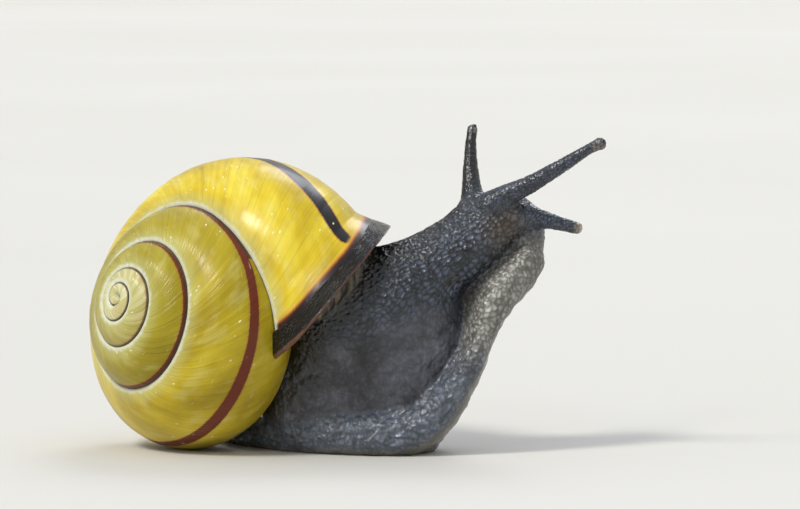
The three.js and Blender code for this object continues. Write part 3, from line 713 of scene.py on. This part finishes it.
NECK_AXIS = unit(np.array([0.78, 0.08, 0.62]))
SKIN_INSET = 0.05  # mm: keeps the grains inside the solids' box
LIP_SHADE_SPAN = (3.4, 0.6)  # mm ahead of the mouth: the skin is painted darker and darker between these, painted shade under the shell's lip
COLLAR_EDGE = (-1.7, -0.9)  # mm outside the shell's wall: the collar turns browner between these
MIXING = 0.25  # mm: two regions of skin shade into each other over about this distance
LIFTED = (3.6, 8.6)  # mm above the floor: the foot's skin turns into its lifted front's between these
SOLE_EDGE = (-0.45, -0.85)  # and its sides into the sole, between these shares of its half thickness
SOLE_WAVE, WAVE_HEIGHT = 1.3, 0.014  # mm from one muscle wave to the next, and how high they are
SOLE_GRAIN = [(0.045, 0.55, 82), (0.03, 0.25, 83)]  # height and size, mm, and the noise's seed
RELIEF = {  # how far each kind of grain or fold stands out in each region, mm
    "neck": {"rows": 0.17, "swell": 0.05, "folds": 0.03},
    "front": {"grain": 0.1, "swell": 0.06, "dimples": 0.04},
    "foot": {"lumps": 0.09, "grain": 0.06, "swell": 0.06, "wrinkles": 0.12, "dimples": 0.07},
    "flank": {"grain": 0.045, "swell": 0.07, "folds": 0.06, "dimples": 0.06, "wrinkles": 0.04},
    "feeler": {"fine": 0.065},
    "collar": {"frill": 0.07, "fine": 0.03, "swell": 0.05},
}
PALENESS = {  # and how much paler each one makes the skin
    "neck": {"rows": 1},
    "front": {"even": 0.2, "grain": 0.8},
    "foot": {"even": 0.3, "lumps": 0.25, "grain": 0.45},
    # on the flank the pale swells are partly mottling and partly painted soft highlights
    "flank": {"even": 0.4, "grain": 0.25, "swell": 0.4, "dimples": 0.2},
    "feeler": {"fine": 1},
    "collar": {"crests": 1},
}


def region_weights(places, parts):
    """How much each point belongs to each part, from its distance to the part's surface."""
    away = {name: np.clip(field_at(field, places), 0, None) for name, field in parts.items()}
    closeness = {name: np.exp(-gap / MIXING) for name, gap in away.items()}
    total = sum(closeness.values())
    share = {name: value / total for name, value in closeness.items()}
    lifted = smoothstep(*LIFTED, places[:, 2])
    return {
        "neck": share["neck"] + share["head"],
        "flank": share["trunk"],
        "foot": share["foot"] * (1 - lifted),
        "front": share["foot"] * lifted + share["lobes"],
        "feeler": share["feelers"],
        "collar": share["collar"],
    }


def sole_share(places, foot):
    """1 on the sole, 0 on the foot's sides and back."""
    rows = smooth_curve(FOOT, 90)
    _, _, up = section_ways(rows)
    nearest = ((places[:, None] - rows[None, :, :3]) ** 2).sum(-1).argmin(1)
    above = ((places - rows[nearest, :3]) * up[nearest]).sum(1) / rows[nearest, 4]
    return smoothstep(*SOLE_EDGE, above) * foot


def sole_grain(places):
    """Faint waves across the sole, the muscles it crawls with, and a fine unevenness, mm."""
    rows = smooth_curve(FOOT, 240)[:, :3]
    passed = lengths_along(rows)
    along = np.empty(len(places))
    chunk = 20000  # points at a time, to spare memory
    for first in range(0, len(places), chunk):
        some = places[first : first + chunk]
        along[first : first + chunk] = passed[((some[:, None] - rows) ** 2).sum(-1).argmin(1)]
    waves = WAVE_HEIGHT * np.sin(TURN * along / SOLE_WAVE + noise(places / 1.5, 81))
    return waves + sum(height * noise(places / size, seed) for height, size, seed in SOLE_GRAIN)


def mixed(table, region, kinds):
    """The sum of what a table says for each part, by how much each point belongs to it."""
    return sum(
        region[part] * sum(amount * kinds[kind] for kind, amount in mix.items())
        for part, mix in table.items()
    )


def skin_grain(places, region):
    """How far the skin's grain and folds stand out, mm, and what its colouring needs to know: how
    pale each point is, and the shade of the grain it lies on."""
    # Places are divided by the size of the grains or folds, mm; the last number is the noise's seed.
    across = unit(np.cross(NECK_AXIS, [0, 1, 0]))
    along = np.stack([places @ NECK_AXIS, places[:, 1], places @ across], axis=-1)
    bend = 0.2 * np.stack([noise(places / 1.3, k) for k in (21, 22, 23)], axis=-1)
    fray = 0.09 * np.stack([noise(places / 0.28, k) for k in (24, 25, 26)], axis=-1)
    rows_top, row_shade = cells((along + bend + fray) / [0.5, 0.3, 0.3], 31)
    grain_top, round_shade = cells((places + bend + 1.3 * fray) / [0.3, 0.3, 0.42], 41)
    lump_top, lump_shade = cells((places + 2 * bend + fray) / [0.85, 0.85, 0.6], 51)
    fine_top, _ = cells((places + fray) / 0.21, 61)
    wall, _, mouth_angle = round_the_mouth(places)
    frill = noise(np.stack([mouth_angle * 22, wall * 1.4, 0 * wall], axis=-1) + 3 * bend, 74)
    frill = np.clip(0.45 + 0.9 * frill, 0, 1)
    kinds = {
        "even": 1,
        "rows": rows_top,
        "grain": grain_top,
        "lumps": lump_top,
        "fine": fine_top,
        "swell": noise(places / 1.7, 71),
        "folds": noise((along + 2 * bend) / [1.6, 0.45, 0.45], 72),
        "wrinkles": (1 - np.abs(noise((places + 2 * bend) / [0.7, 0.7, 0.45], 73))) ** 3,
        "dimples": noise((places + bend) / 0.42, 75),
        "frill": frill,
        "crests": frill**2,
    }
    others = sum(region[part] for part in ("front", "collar", "flank", "feeler"))
    shade = region["neck"] * row_shade + others * round_shade + region["foot"] * lump_shade
    return mixed(RELIEF, region, kinds), np.clip(mixed(PALENESS, region, kinds), 0, 1), shade


CHEEKS = [((11.0, -1.6, 15.0), 1.6), ((9.6, 3.5, 15.0), 1.6)]  # browner: middle and radius


def cheek_share(places):
    gaps = [np.linalg.norm(places - np.array(centre), axis=1) / radius for centre, radius in CHEEKS]
    return sum(np.exp(-(gap**2)) for gap in gaps)


PALE_TIPS = ["lower_tentacle_right", "lower_tentacle_left"]


def tip_share(places):
    """1 at the pale ends of the lower feelers, fading over the last half millimetre."""
    gaps = [np.linalg.norm(places - np.array(FEELERS[name][-1][:3]), axis=1) for name in PALE_TIPS]
    return smoothstep(0.8, 0.25, np.minimum(*gaps))


def knob_shares(places):
    """1 in the paler knobs that hold the eyes, and 1 on their clearer undersides."""
    knob, belly = np.zeros((2, len(places)))
    for centre, radius in KNOBS.values():
        away = (places - np.array(centre)) / radius
        share = smoothstep(1.9, 0.9, np.linalg.norm(away, axis=1))
        knob = np.maximum(knob, share)
        belly = np.maximum(belly, share * smoothstep(0.1, -0.8, away[:, 2]))
    return knob, belly


def build_skin():
    parts = body_parts()
    mesh = field_mesh(body_field(parts))
    mesh.name = "skin"
    places = vertex_values(mesh.vertices, "co") / MM
    region = region_weights(places, parts)
    sole = sole_share(places, region["foot"] + region["front"])
    height, top, shade = skin_grain(places, {key: value * (1 - sole) for key, value in region.items()})
    on_sole = sole > 0.01
    height[on_sole] += sole[on_sole] * sole_grain(places[on_sole])
    places += (height - SKIN_INSET)[:, None] * vertex_values(mesh.vertex_normals, "vector")
    places[:, 2] = np.maximum(places[:, 2], 0)
    mesh.vertices.foreach_set("co", (places * MM).astype(np.float32).ravel())
    mesh.update()
    wall, ahead, _ = round_the_mouth(places)
    facts = {"is_" + part: value for part, value in region.items()}
    facts.update({
        "top": top,
        "shade": shade,
        "is_sole": sole,
        "is_cheek": cheek_share(places),
        # painted shade on the skin just ahead of the shell's mouth, where the lip shades it
        "is_sheltered": smoothstep(*LIP_SHADE_SPAN, ahead) * (1 - region["collar"]) * (1 - region["foot"]),
        "is_collar_edge": region["collar"] * smoothstep(*COLLAR_EDGE, wall),
        "is_feeler_tip": tip_share(places),
    })
    facts["is_knob"], facts["is_knob_belly"] = knob_shares(places)
    add_facts(mesh, facts)
    return smooth_object("skin", mesh)


EYE_PROUD = 0.12  # mm: how far an eye stands out of its knob


def build_eye(name):
    """A dark ball just under the tip of its feeler, with its front showing."""
    low, high = node_corners(name)
    radius = (high - low).mean() / 2
    knob, knob_radius = KNOBS[name]
    outward = unit((low + high) / 2 - knob)
    centre = knob + outward * (knob_radius + EYE_PROUD - radius)
    rings, sides = 16, 24
    points = []
    for tilt in np.linspace(0, math.pi, rings + 1):
        for turn in np.linspace(0, TURN, sides, endpoint=False):
            level = math.sin(tilt)
            way = np.array([level * math.cos(turn), level * math.sin(turn), math.cos(tilt)])
            points.append(centre + radius * way)
    return mesh_object(name + "_ball", points, grid_faces(rings + 1, sides, wrap=True))


# ---------------------------------------------------------------- finishes


def add(tree, kind, inputs=None, stops=None, **settings):
    """Adds a node. inputs maps a socket's name or number to a value or to another node's output;
    stops fills a colour ramp with (place, hex colour)."""
    node = tree.nodes.new("ShaderNode" + kind)
    for key, value in settings.items():
        setattr(node, key, value)
    for key, value in (inputs or {}).items():
        if isinstance(value, bpy.types.NodeSocket):
            tree.links.new(value, node.inputs[key])
        else:
            node.inputs[key].default_value = value
    if stops:
        ramp = node.color_ramp.elements
        while len(ramp) < len(stops):
            ramp.new(1)
        for element, (place, colour) in zip(ramp, stops):
            element.position = place
            element.color = linear(colour)
    return node


def new_material(name):
    material = bpy.data.materials.new(name)
    material.use_nodes = True
    material.node_tree.nodes.clear()
    return material, material.node_tree


SHELL_FACTS = ["band", "from_suture", "from_lower", "behind_lip", "growth", "across", "turns", "inside"]
SHELL_GRAIN = [  # its size along the whorl and across it, mm, and how many finer layers it has
    ("ribs", 0.16, 9.0, 2.0),  # growth lines, coarser than the real 0.05 to 0.1 mm so that they show
    ("folds", 1.4, 9.0, 2.0),
    ("clouds", 4.5, 3.2, 3.0),
    # sky_sheen: the noise for pale patches of painted sheen, a painted reflection of the sky; it also
    # varies the roughness and sets where dark specks fall
    ("sky_sheen", 1.8, 1.5, 4.0),
    ("streaks", 0.6, 5.0, 3.0),
    ("scratches", 1.3, 0.14, 2.0),
]
SHELL_SPOTS = [("pale_spots", 0.8), ("dark_spots", 1.7)]  # mm from one to the next
SHELL_SUMS = [  # each is one signal times a number, plus another signal or a number
    ("pause_place", "growth", 1 / 1.2, "folds"),
    ("ragged", "streaks", 0.5, -0.4),
    ("frayed", "ribs", 0.35, "ragged"),
    ("worn_edge", "from_suture", 1.0, "frayed"),
    ("wavy", "ribs", 0.12, -0.06),
    ("band_edge", "band", 1.0, "wavy"),
    ("uneven", "clouds", 0.5, -0.25),
    ("lip_edge", "behind_lip", 1.0, "uneven"),
]
SHELL_SHARES = [  # each turns smoothly from one value to another as a signal goes from here to there
    ("old", "turns", 0.4, 1.5, 0.0, 0.72),
    ("oldest", "turns", 2.5, 3.6, 0.0, 0.85),
    # the underside below the band turns darker golden: partly the shell's own colour, partly painted shade
    ("base", "across", -0.5, -6.0, 0.0, 0.6),
    # painted sheen: pale patches that stand for a reflection of the sky
    ("sky_sheen", "sky_sheen", 0.5, 0.68, 0.0, 0.2),
    ("patch", "streaks", 0.42, 0.6, 0.0, 0.6),
    ("sutural", "from_suture", 0.2, 1.4, 0.5, 0.0),
    ("worn", "worn_edge", 0.12, 0.5, 0.85, 0.0),
    # painted shade: a thin dark line in the groove of each suture, fainter on the oldest turns
    ("suture_shade_line", "from_suture", 0.02, 0.08, 0.95, 0.0),
    ("suture_shade_age", "turns", 3.1, 4.0, 1.0, 0.35),
    ("lower_suture_shade", "from_lower", 0.02, 0.1, 0.85, 0.0),
    ("fleck", "pale_spots", 0.07, 0.13, 0.9, 0.0),
    ("some", "clouds", 0.5, 0.56, 0.0, 1.0),
    ("speck", "dark_spots", 0.03, 0.05, 0.9, 0.0),
    ("few", "sky_sheen", 0.56, 0.6, 0.0, 1.0),
    ("scratch", "scratches", 0.69, 0.76, 0.0, 0.4),
    ("pause", "pauses", 0.01, 0.05, 0.13, 0.0),
    ("fringe", "band_edge", 0.0, 0.15, 0.75, 0.0),
    ("band", "band_edge", -0.05, 0.02, 1.0, 0.0),
    ("new", "turns", 0.55, 0.2, 0.0, 1.0),
    ("dark_band_side", "turns", 0.55, 0.2, 0.4, 1.0),
    ("lip", "lip_edge", 2.15, 1.7, 0.0, 1.0),
    ("lip_ramp", "lip_edge", 1.35, 2.1, 0.0, 1.0),
    ("inside", "inside", 0.0, 1.0, 0.0, 1.0),
    ("tone", "ribs", 0.3, 0.7, 0.95, 1.05),
    ("wash", "streaks", 0.3, 0.7, 0.95, 1.06),
    ("rough", "sky_sheen", 0.3, 0.7, 0.28, 0.44),
    ("relief", "turns", 0.5, 1.3, 0.2, 1.0),
]
SHELL_PRODUCTS = [
    ("pale_fleck", "fleck", "some"),
    ("dark_speck", "speck", "few"),
    ("band_fringe", "fringe", "dark_band_side"),
    ("suture_shade", "suture_shade_line", "suture_shade_age"),
    ("apex_bloom", "oldest", "patch"),
    ("shading", "tone", "wash"),
]
RIB_HEIGHT = 0.04  # mm
SHELL_YELLOWS = [(0.3, "#AE920C"), (0.44, "#C8AC14"), (0.56, "#DABF22"), (0.7, "#E8D446")]
LIP_FRINGE = [(0.0, "#1C0E0A"), (0.2, "#4C2210"), (0.42, "#97541C"), (0.7, "#CC9630"), (1.0, "#DCB632")]
OLD_BAND, NEW_BAND = "#6A2706", "#110D12"
SHELL_LAYERS = [  # from the lowest up; the band and the lip have colours of their own
    ("old", "#857C0A"),
    # darker golden underside: partly its own colour, partly painted shade
    ("base", "#A67C06"),
    # painted sheen, a painted reflection of the sky
    ("sky_sheen", "#E2DC98"),
    ("oldest", "#CFC58E"),
    ("apex_bloom", "#EDE7CC"),
    ("sutural", "#C6C788"),
    ("pause", "#6E5C10"),
    ("band_fringe", "#A8501A"),
    ("band", None),
    ("lip", None),
    ("worn", "#E4E6D4"),
    ("pale_fleck", "#F4F0D6"),
    ("scratch", "#EFE8B8"),
    ("dark_speck", "#3A2A12"),
    # painted shade in the sutures' grooves, on both sides of each
    ("suture_shade", "#3B2812"),
    ("lower_suture_shade", "#3B2812"),
    ("inside", "#3A3022"),
]


def shell_signals(tree):
    """What the shell's mesh says about each point, and the grain laid out along its whorls."""
    signal = {name: add(tree, "Attribute", attribute_name=name).outputs["Fac"] for name in SHELL_FACTS}
    place = add(tree, "CombineXYZ", {"X": signal["growth"], "Y": signal["across"]}).outputs[0]
    for name, along, crossing, detail in SHELL_GRAIN:
        scaled = add(tree, "Mapping", {"Vector": place, "Scale": (1 / along, 1 / crossing, 1)}).outputs[0]
        signal[name] = add(tree, "TexNoise", {
            "Vector": scaled, "Scale": 1.0, "Detail": detail, "Distortion": 0.05,
        }).outputs["Fac"]
    for name, apart in SHELL_SPOTS:
        scaled = add(tree, "Mapping", {"Vector": place, "Scale": (1 / apart, 1 / apart, 1)}).outputs[0]
        signal[name] = add(tree, "TexVoronoi", {"Vector": scaled, "Scale": 1.0}).outputs["Distance"]
    for name, source, times, rest in SHELL_SUMS:
        signal[name] = add(tree, "Math", {0: signal[source], 1: times, 2: signal.get(rest, rest)},
                           operation="MULTIPLY_ADD").outputs[0]
    signal["pauses"] = add(tree, "TexVoronoi", {"W": signal["pause_place"], "Scale": 1.0},
                           voronoi_dimensions="1D", feature="DISTANCE_TO_EDGE").outputs["Distance"]
    return signal


def shell_shares(tree, signal):
    share = {}
    for name, source, start, end, low, high in SHELL_SHARES:
        share[name] = add(tree, "MapRange", {
            "Value": signal[source], "From Min": start, "From Max": end, "To Min": low, "To Max": high,
        }, interpolation_type="SMOOTHSTEP").outputs["Result"]
    for name, first, second in SHELL_PRODUCTS:
        share[name] = add(tree, "Math", {0: share[first], 1: share[second]},
                          operation="MULTIPLY").outputs[0]
    return share


def shell_lime():
    """Lime under a thin glossy horny skin, laid down line by line at the mouth. The skin gives the
    gloss and the yellow, the growth lines give fine ribs across the whorl, and where the skin has
    worn off, on the old whorls and beside the suture, the lime shows through paler and in flecks.
    Soft pale patches over all of it are painted sheen, a painted reflection of the sky. The dark
    line along each suture is painted shade in its groove, and the underside below the band is
    darker golden, partly its own colour and partly painted shade."""
    material, tree = new_material("glossy_horn_over_shell_lime")
    signal = shell_signals(tree)
    share = shell_shares(tree, signal)
    colour = add(tree, "ValToRGB", {"Fac": signal["clouds"]}, stops=SHELL_YELLOWS).outputs["Color"]
    own = {
        "band": add(tree, "Mix", {"Factor": share["new"], "A": linear(OLD_BAND), "B": linear(NEW_BAND)},
                    data_type="RGBA").outputs["Result"],
        "lip": add(tree, "ValToRGB", {"Fac": share["lip_ramp"]}, stops=LIP_FRINGE).outputs["Color"],
    }
    for layer, over in SHELL_LAYERS:
        over = linear(over) if over else own[layer]
        colour = add(tree, "Mix", {"Factor": share[layer], "A": colour, "B": over},
                     data_type="RGBA").outputs["Result"]
    colour = add(tree, "VectorMath", {0: colour, "Scale": share["shading"]}, operation="SCALE").outputs[0]
    marks = signal["ribs"]
    for source, height in ((share["scratch"], -0.6), (signal["streaks"], 1.5), (share["pause"], -1.5)):
        marks = add(tree, "Math", {0: source, 1: height, 2: marks}, operation="MULTIPLY_ADD").outputs[0]
    bump = add(tree, "Bump", {
        "Height": marks, "Strength": share["relief"], "Distance": RIB_HEIGHT * MM,
    }).outputs[0]
    shader = add(tree, "BsdfPrincipled", {
        "Base Color": colour, "Roughness": share["rough"], "Normal": bump, "Coat Normal": bump, "IOR": 1.53,
        "Specular IOR Level": 0.25, "Coat Weight": 0.2, "Coat Roughness": 0.14, "Subsurface Weight": 0.1,
        "Subsurface Radius": (1.0, 0.8, 0.35), "Subsurface Scale": 0.5 * MM,
    })
    add(tree, "OutputMaterial", {"Surface": shader.outputs[0]})
    return material


LIP_GRAIN = [("lines", 1.6, 0.14), ("mottle", 0.6, 0.3)]  # size along the lip and across it, mm


def lip_lime():
    """The same lime, thickened and dyed black-brown at the mouth's edge, and worn smooth: it gives
    long sharp highlights, broken by the lines in which it grew."""
    material, tree = new_material("polished_black_brown_lip_lime")
    behind, around = (
        add(tree, "Attribute", attribute_name=name).outputs["Fac"] for name in ("behind_lip", "round_lip")
    )
    place = add(tree, "CombineXYZ", {"X": around, "Y": behind}).outputs[0]
    grain = {}
    for name, along, crossing in LIP_GRAIN:
        scaled = add(tree, "Mapping", {"Vector": place, "Scale": (1 / along, 1 / crossing, 1)}).outputs[0]
        grain[name] = add(tree, "TexNoise", {
            "Vector": scaled, "Scale": 1.0, "Detail": 4.0, "Distortion": 0.6,
        }).outputs["Fac"]
    ragged = add(tree, "Math", {0: grain["mottle"], 1: 0.3, 2: behind}, operation="MULTIPLY_ADD").outputs[0]
    colour = linear("#0B0809")
    for value, start, end, most, over in (
        (grain["lines"], 0.56, 0.68, 0.5, "#2B1B17"),  # browner lines
        (ragged, 0.3, 0.12, 0.95, "#7A5543"),  # the thin edge lets light through
        (ragged, 1.4, 1.6, 1.0, "#54210F"),  # and so does the back, where it meets the shell
    ):
        share = add(tree, "MapRange", {
            "Value": value, "From Min": start, "From Max": end, "To Min": 0.0, "To Max": most,
        }, interpolation_type="SMOOTHSTEP").outputs["Result"]
        colour = add(tree, "Mix", {"Factor": share, "A": colour, "B": linear(over)},
                     data_type="RGBA").outputs["Result"]
    height = add(tree, "Math", {0: grain["mottle"], 1: 0.8, 2: grain["lines"]},
                 operation="MULTIPLY_ADD").outputs[0]
    bump = add(tree, "Bump", {"Height": height, "Strength": 1.0, "Distance": 0.32 * MM}).outputs[0]
    shader = add(tree, "BsdfPrincipled", {
        "Base Color": colour, "Roughness": 0.3, "Normal": bump, "Coat Normal": bump, "IOR": 1.53,
        "Specular IOR Level": 0.12, "Coat Weight": 0.6, "Coat Roughness": 0.05,
    })
    add(tree, "OutputMaterial", {"Surface": shader.outputs[0]})
    return material


SKIN_TONES = {  # colour between the grains, and on top of them: the dark creases are partly pigment and partly painted shade, the paler tops partly painted sheen
    "neck": ("#08090C", "#606C81"),
    "cheek": ("#1E1710", "#796A56"),
    "front": ("#47463F", "#A9A7A0"),
    "flank": ("#15161B", "#5F606B"),
    "foot": ("#1A1F26", "#737C8A"),
    "feeler": ("#111419", "#4D576A"),
    # painted shade: near-black skin under the shell's lip
    "sheltered": ("#030303", "#0F1113"),
    "collar": ("#221E17", "#4B4436"),
    "collar_edge": ("#1A160E", "#6A6045"),
    "feeler_tip": ("#8A7D6C", "#C4B6A2"),
    "knob": ("#2E2F34", "#7C7D82"),
    "knob_belly": ("#5E4C44", "#A8907F"),
    "sole": ("#7C776B", "#9C968A"),
}
BLOTCH_SIZE, PORE_SIZE = 2.0, 0.12  # mm: blotches of pigment, and pores


def wet_skin():
    """Soft skin in small raised grains, dark in the creases between them, under a film of slime
    that glints on every grain. The dark creases are partly pigment and partly painted shade, and
    the paler grain tops partly a painted sheen."""
    material, tree = new_material("wet_grained_snail_skin")
    fact = {
        name: add(tree, "Attribute", attribute_name=name).outputs["Fac"]
        for name in ("top", "shade", *["is_" + part for part in SKIN_TONES if part != "neck"])
    }
    place = add(tree, "TexCoord").outputs["Object"]
    blotches, pores = (
        add(tree, "TexNoise", {"Vector": place, "Scale": 1 / (size * MM), "Detail": 4.0}).outputs["Fac"]
        for size in (BLOTCH_SIZE, PORE_SIZE)
    )
    raised = add(tree, "Math", {0: fact["top"], 1: 1.3}, operation="POWER").outputs[0]
    colour = linear(SKIN_TONES["neck"][0])
    for part, (low, high) in SKIN_TONES.items():
        tint = add(tree, "Mix", {"Factor": raised, "A": linear(low), "B": linear(high)},
                   data_type="RGBA").outputs["Result"]
        colour = add(tree, "Mix", {"Factor": fact.get("is_" + part, 1.0), "A": colour, "B": tint},
                     data_type="RGBA").outputs["Result"]
    for value, start, end, low, high in (
        (fact["shade"], 0.0, 1.0, 0.78, 1.22), (blotches, 0.3, 0.7, 0.72, 1.25),
    ):
        tone = add(tree, "MapRange", {
            "Value": value, "From Min": start, "From Max": end, "To Min": low, "To Max": high,
        }).outputs["Result"]
        colour = add(tree, "VectorMath", {0: colour, "Scale": tone}, operation="SCALE").outputs[0]
    bump = add(tree, "Bump", {"Height": pores, "Strength": 0.8, "Distance": 0.04 * MM}).outputs[0]
    shader = add(tree, "BsdfPrincipled", {
        "Base Color": colour, "Roughness": 0.45, "Normal": bump, "Coat Normal": bump, "IOR": 1.38,
        "Specular IOR Level": 0.3, "Coat Weight": 0.85, "Coat Roughness": 0.09, "Subsurface Weight": 0.12,
        "Subsurface Radius": (1.0, 0.8, 0.6), "Subsurface Scale": 0.3 * MM,
    })
    add(tree, "OutputMaterial", {"Surface": shader.outputs[0]})
    return material


def eye_pigment():
    """Black pigment behind clear skin: all that shows is one sharp highlight."""
    material, tree = new_material("black_eye_pigment_under_clear_skin")
    place = add(tree, "TexCoord").outputs["Object"]
    # Pigment grains are drawn 0.15 mm across, many times coarser than real ones, so that they show.
    mottle = add(tree, "TexNoise", {"Vector": place, "Scale": 1 / (0.15 * MM)}).outputs["Fac"]
    colour = add(tree, "Mix", {"Factor": mottle, "A": linear("#040405"), "B": linear("#101015")},
                 data_type="RGBA").outputs["Result"]
    shader = add(tree, "BsdfPrincipled", {
        "Base Color": colour, "Roughness": 0.1, "IOR": 1.4, "Coat Weight": 1.0, "Coat Roughness": 0.03,
    })
    add(tree, "OutputMaterial", {"Surface": shader.outputs[0]})
    return material


# ---------------------------------------------------------------- the animal


def place_piece(piece, material, slot, *nodes):
    """Gives a piece its finish and puts it in the place of the nodes that it stands for."""
    piece.data.materials.clear()
    piece.data.materials.append(material)
    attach(piece, "root")
    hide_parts(*nodes)


place_piece(build_shell(), shell_lime(), "shell", "shell_spire", "shell_body_whorl")
place_piece(build_lip(), lip_lime(), "lip", "shell_lip")
place_piece(build_skin(), wet_skin(), "skin", *FLESH)
eye_finish = eye_pigment()
for eye_name in ("eye_right", "eye_left"):
    place_piece(build_eye(eye_name), eye_finish, "eye", eye_name)

# ---------------------------------------------------------------- floor, light and camera

PICTURE_WIDTH = 800  # pixels
PIXELS_PER_MM = 15.3  # at the camera's target
CAMERA_TARGET = np.array([4.0, -2.5, 13.2])
CAMERA_DISTANCE = 350.0
CAMERA_ELEVATION = math.radians(4)
SENSOR = 36.0  # mm


def build_backdrop():
    """A pale round floor that turns up to a low wall far away on every side."""
    flat, radius, height, sides, steps = 2600.0, 600.0, 1500.0, 96, 12
    outline = [(10.0, 0.0), (120.0, 0.0), (600.0, 0.0), (flat, 0.0)]  # reach and height
    for step in range(1, steps + 1):
        turn = math.pi / 2 * step / steps
        outline.append((flat + radius * math.sin(turn), radius * (1 - math.cos(turn))))
    outline.append((flat + radius, height))
    points = [
        (reach * math.cos(TURN * k / sides), reach * math.sin(TURN * k / sides), z)
        for reach, z in outline for k in range(sides)
    ]
    faces = [face[::-1] for face in grid_faces(len(outline), sides, wrap=True)]
    return mesh_object("backdrop", points, [tuple(range(sides)), *faces])


def backdrop_paint():
    """Matt pale paint."""
    material, tree = new_material("matt_pale_paint")
    place = add(tree, "TexCoord").outputs["Object"]
    mottle = add(tree, "TexNoise", {"Vector": place, "Scale": 6.0}).outputs["Fac"]
    colour = add(tree, "ValToRGB", {"Fac": mottle}, stops=[(0.3, "#D3D1CB"), (0.7, "#D7D5D0")])
    shader = add(tree, "BsdfPrincipled", {"Base Color": colour.outputs["Color"], "Roughness": 0.8})
    add(tree, "OutputMaterial", {"Surface": shader.outputs[0]})
    return material


def add_sun(name, azimuth, elevation, width, strength, colour="#FFFFFF"):
    """A far soft lamp; its azimuth runs from +X to +Y, and width is how wide it looks, in degrees."""
    lamp = bpy.data.lights.new(name, "SUN")
    lamp.angle = math.radians(width)
    lamp.energy = strength
    lamp.color = linear(colour)[:3]
    holder = bpy.data.objects.new(name, lamp)
    way = Matrix.Rotation(math.radians(azimuth), 3, "Z") @ Matrix.Rotation(-math.radians(elevation), 3, "Y")
    holder.rotation_euler = (way @ Vector((1, 0, 0))).to_track_quat("Z", "Y").to_euler()
    bpy.context.scene.collection.objects.link(holder)


def room_light():
    """Even light that is strong from above and weak from the sides."""
    world = bpy.data.worlds.new("room")
    bpy.context.scene.world = world
    world.use_nodes = True
    tree = world.node_tree
    tree.nodes.clear()
    way = add(tree, "TexCoord").outputs["Generated"]
    upward = add(tree, "SeparateXYZ", {"Vector": way}).outputs["Z"]
    strength = add(tree, "MapRange", {
        "Value": upward, "From Min": 0.0, "From Max": 0.8, "To Min": 0.12, "To Max": 0.85,
    }, interpolation_type="SMOOTHSTEP").outputs["Result"]
    light = add(tree, "Background", {"Color": linear("#E6EBF2"), "Strength": strength})
    add(tree, "OutputWorld", {"Surface": light.outputs[0]})


backdrop = build_backdrop()
backdrop.data.materials.append(backdrop_paint())
room_light()
add_sun("key_lamp", -140, 50, 14, 1.9, "#FFFCF5")
add_sun("side_lamp", -122, 24, 14, 0.5, "#FFFFFF")
add_sun("rim_lamp", 75, 45, 24, 0.7, "#F3F7FF")

bpy.context.scene.view_settings.view_transform = "Standard"

camera = bpy.data.objects.new("camera", bpy.data.cameras.new("camera"))
bpy.context.scene.collection.objects.link(camera)
towards_camera = Vector((0, -math.cos(CAMERA_ELEVATION), math.sin(CAMERA_ELEVATION)))
camera.location = Vector(CAMERA_TARGET * MM) + towards_camera * CAMERA_DISTANCE * MM
camera.rotation_euler = towards_camera.to_track_quat("Z", "Y").to_euler()
camera.data.sensor_width = SENSOR
camera.data.lens = SENSOR * CAMERA_DISTANCE / (PICTURE_WIDTH / PIXELS_PER_MM)
camera.data.clip_start = 0.01
camera.data.clip_end = 10
bpy.context.scene.camera = camera
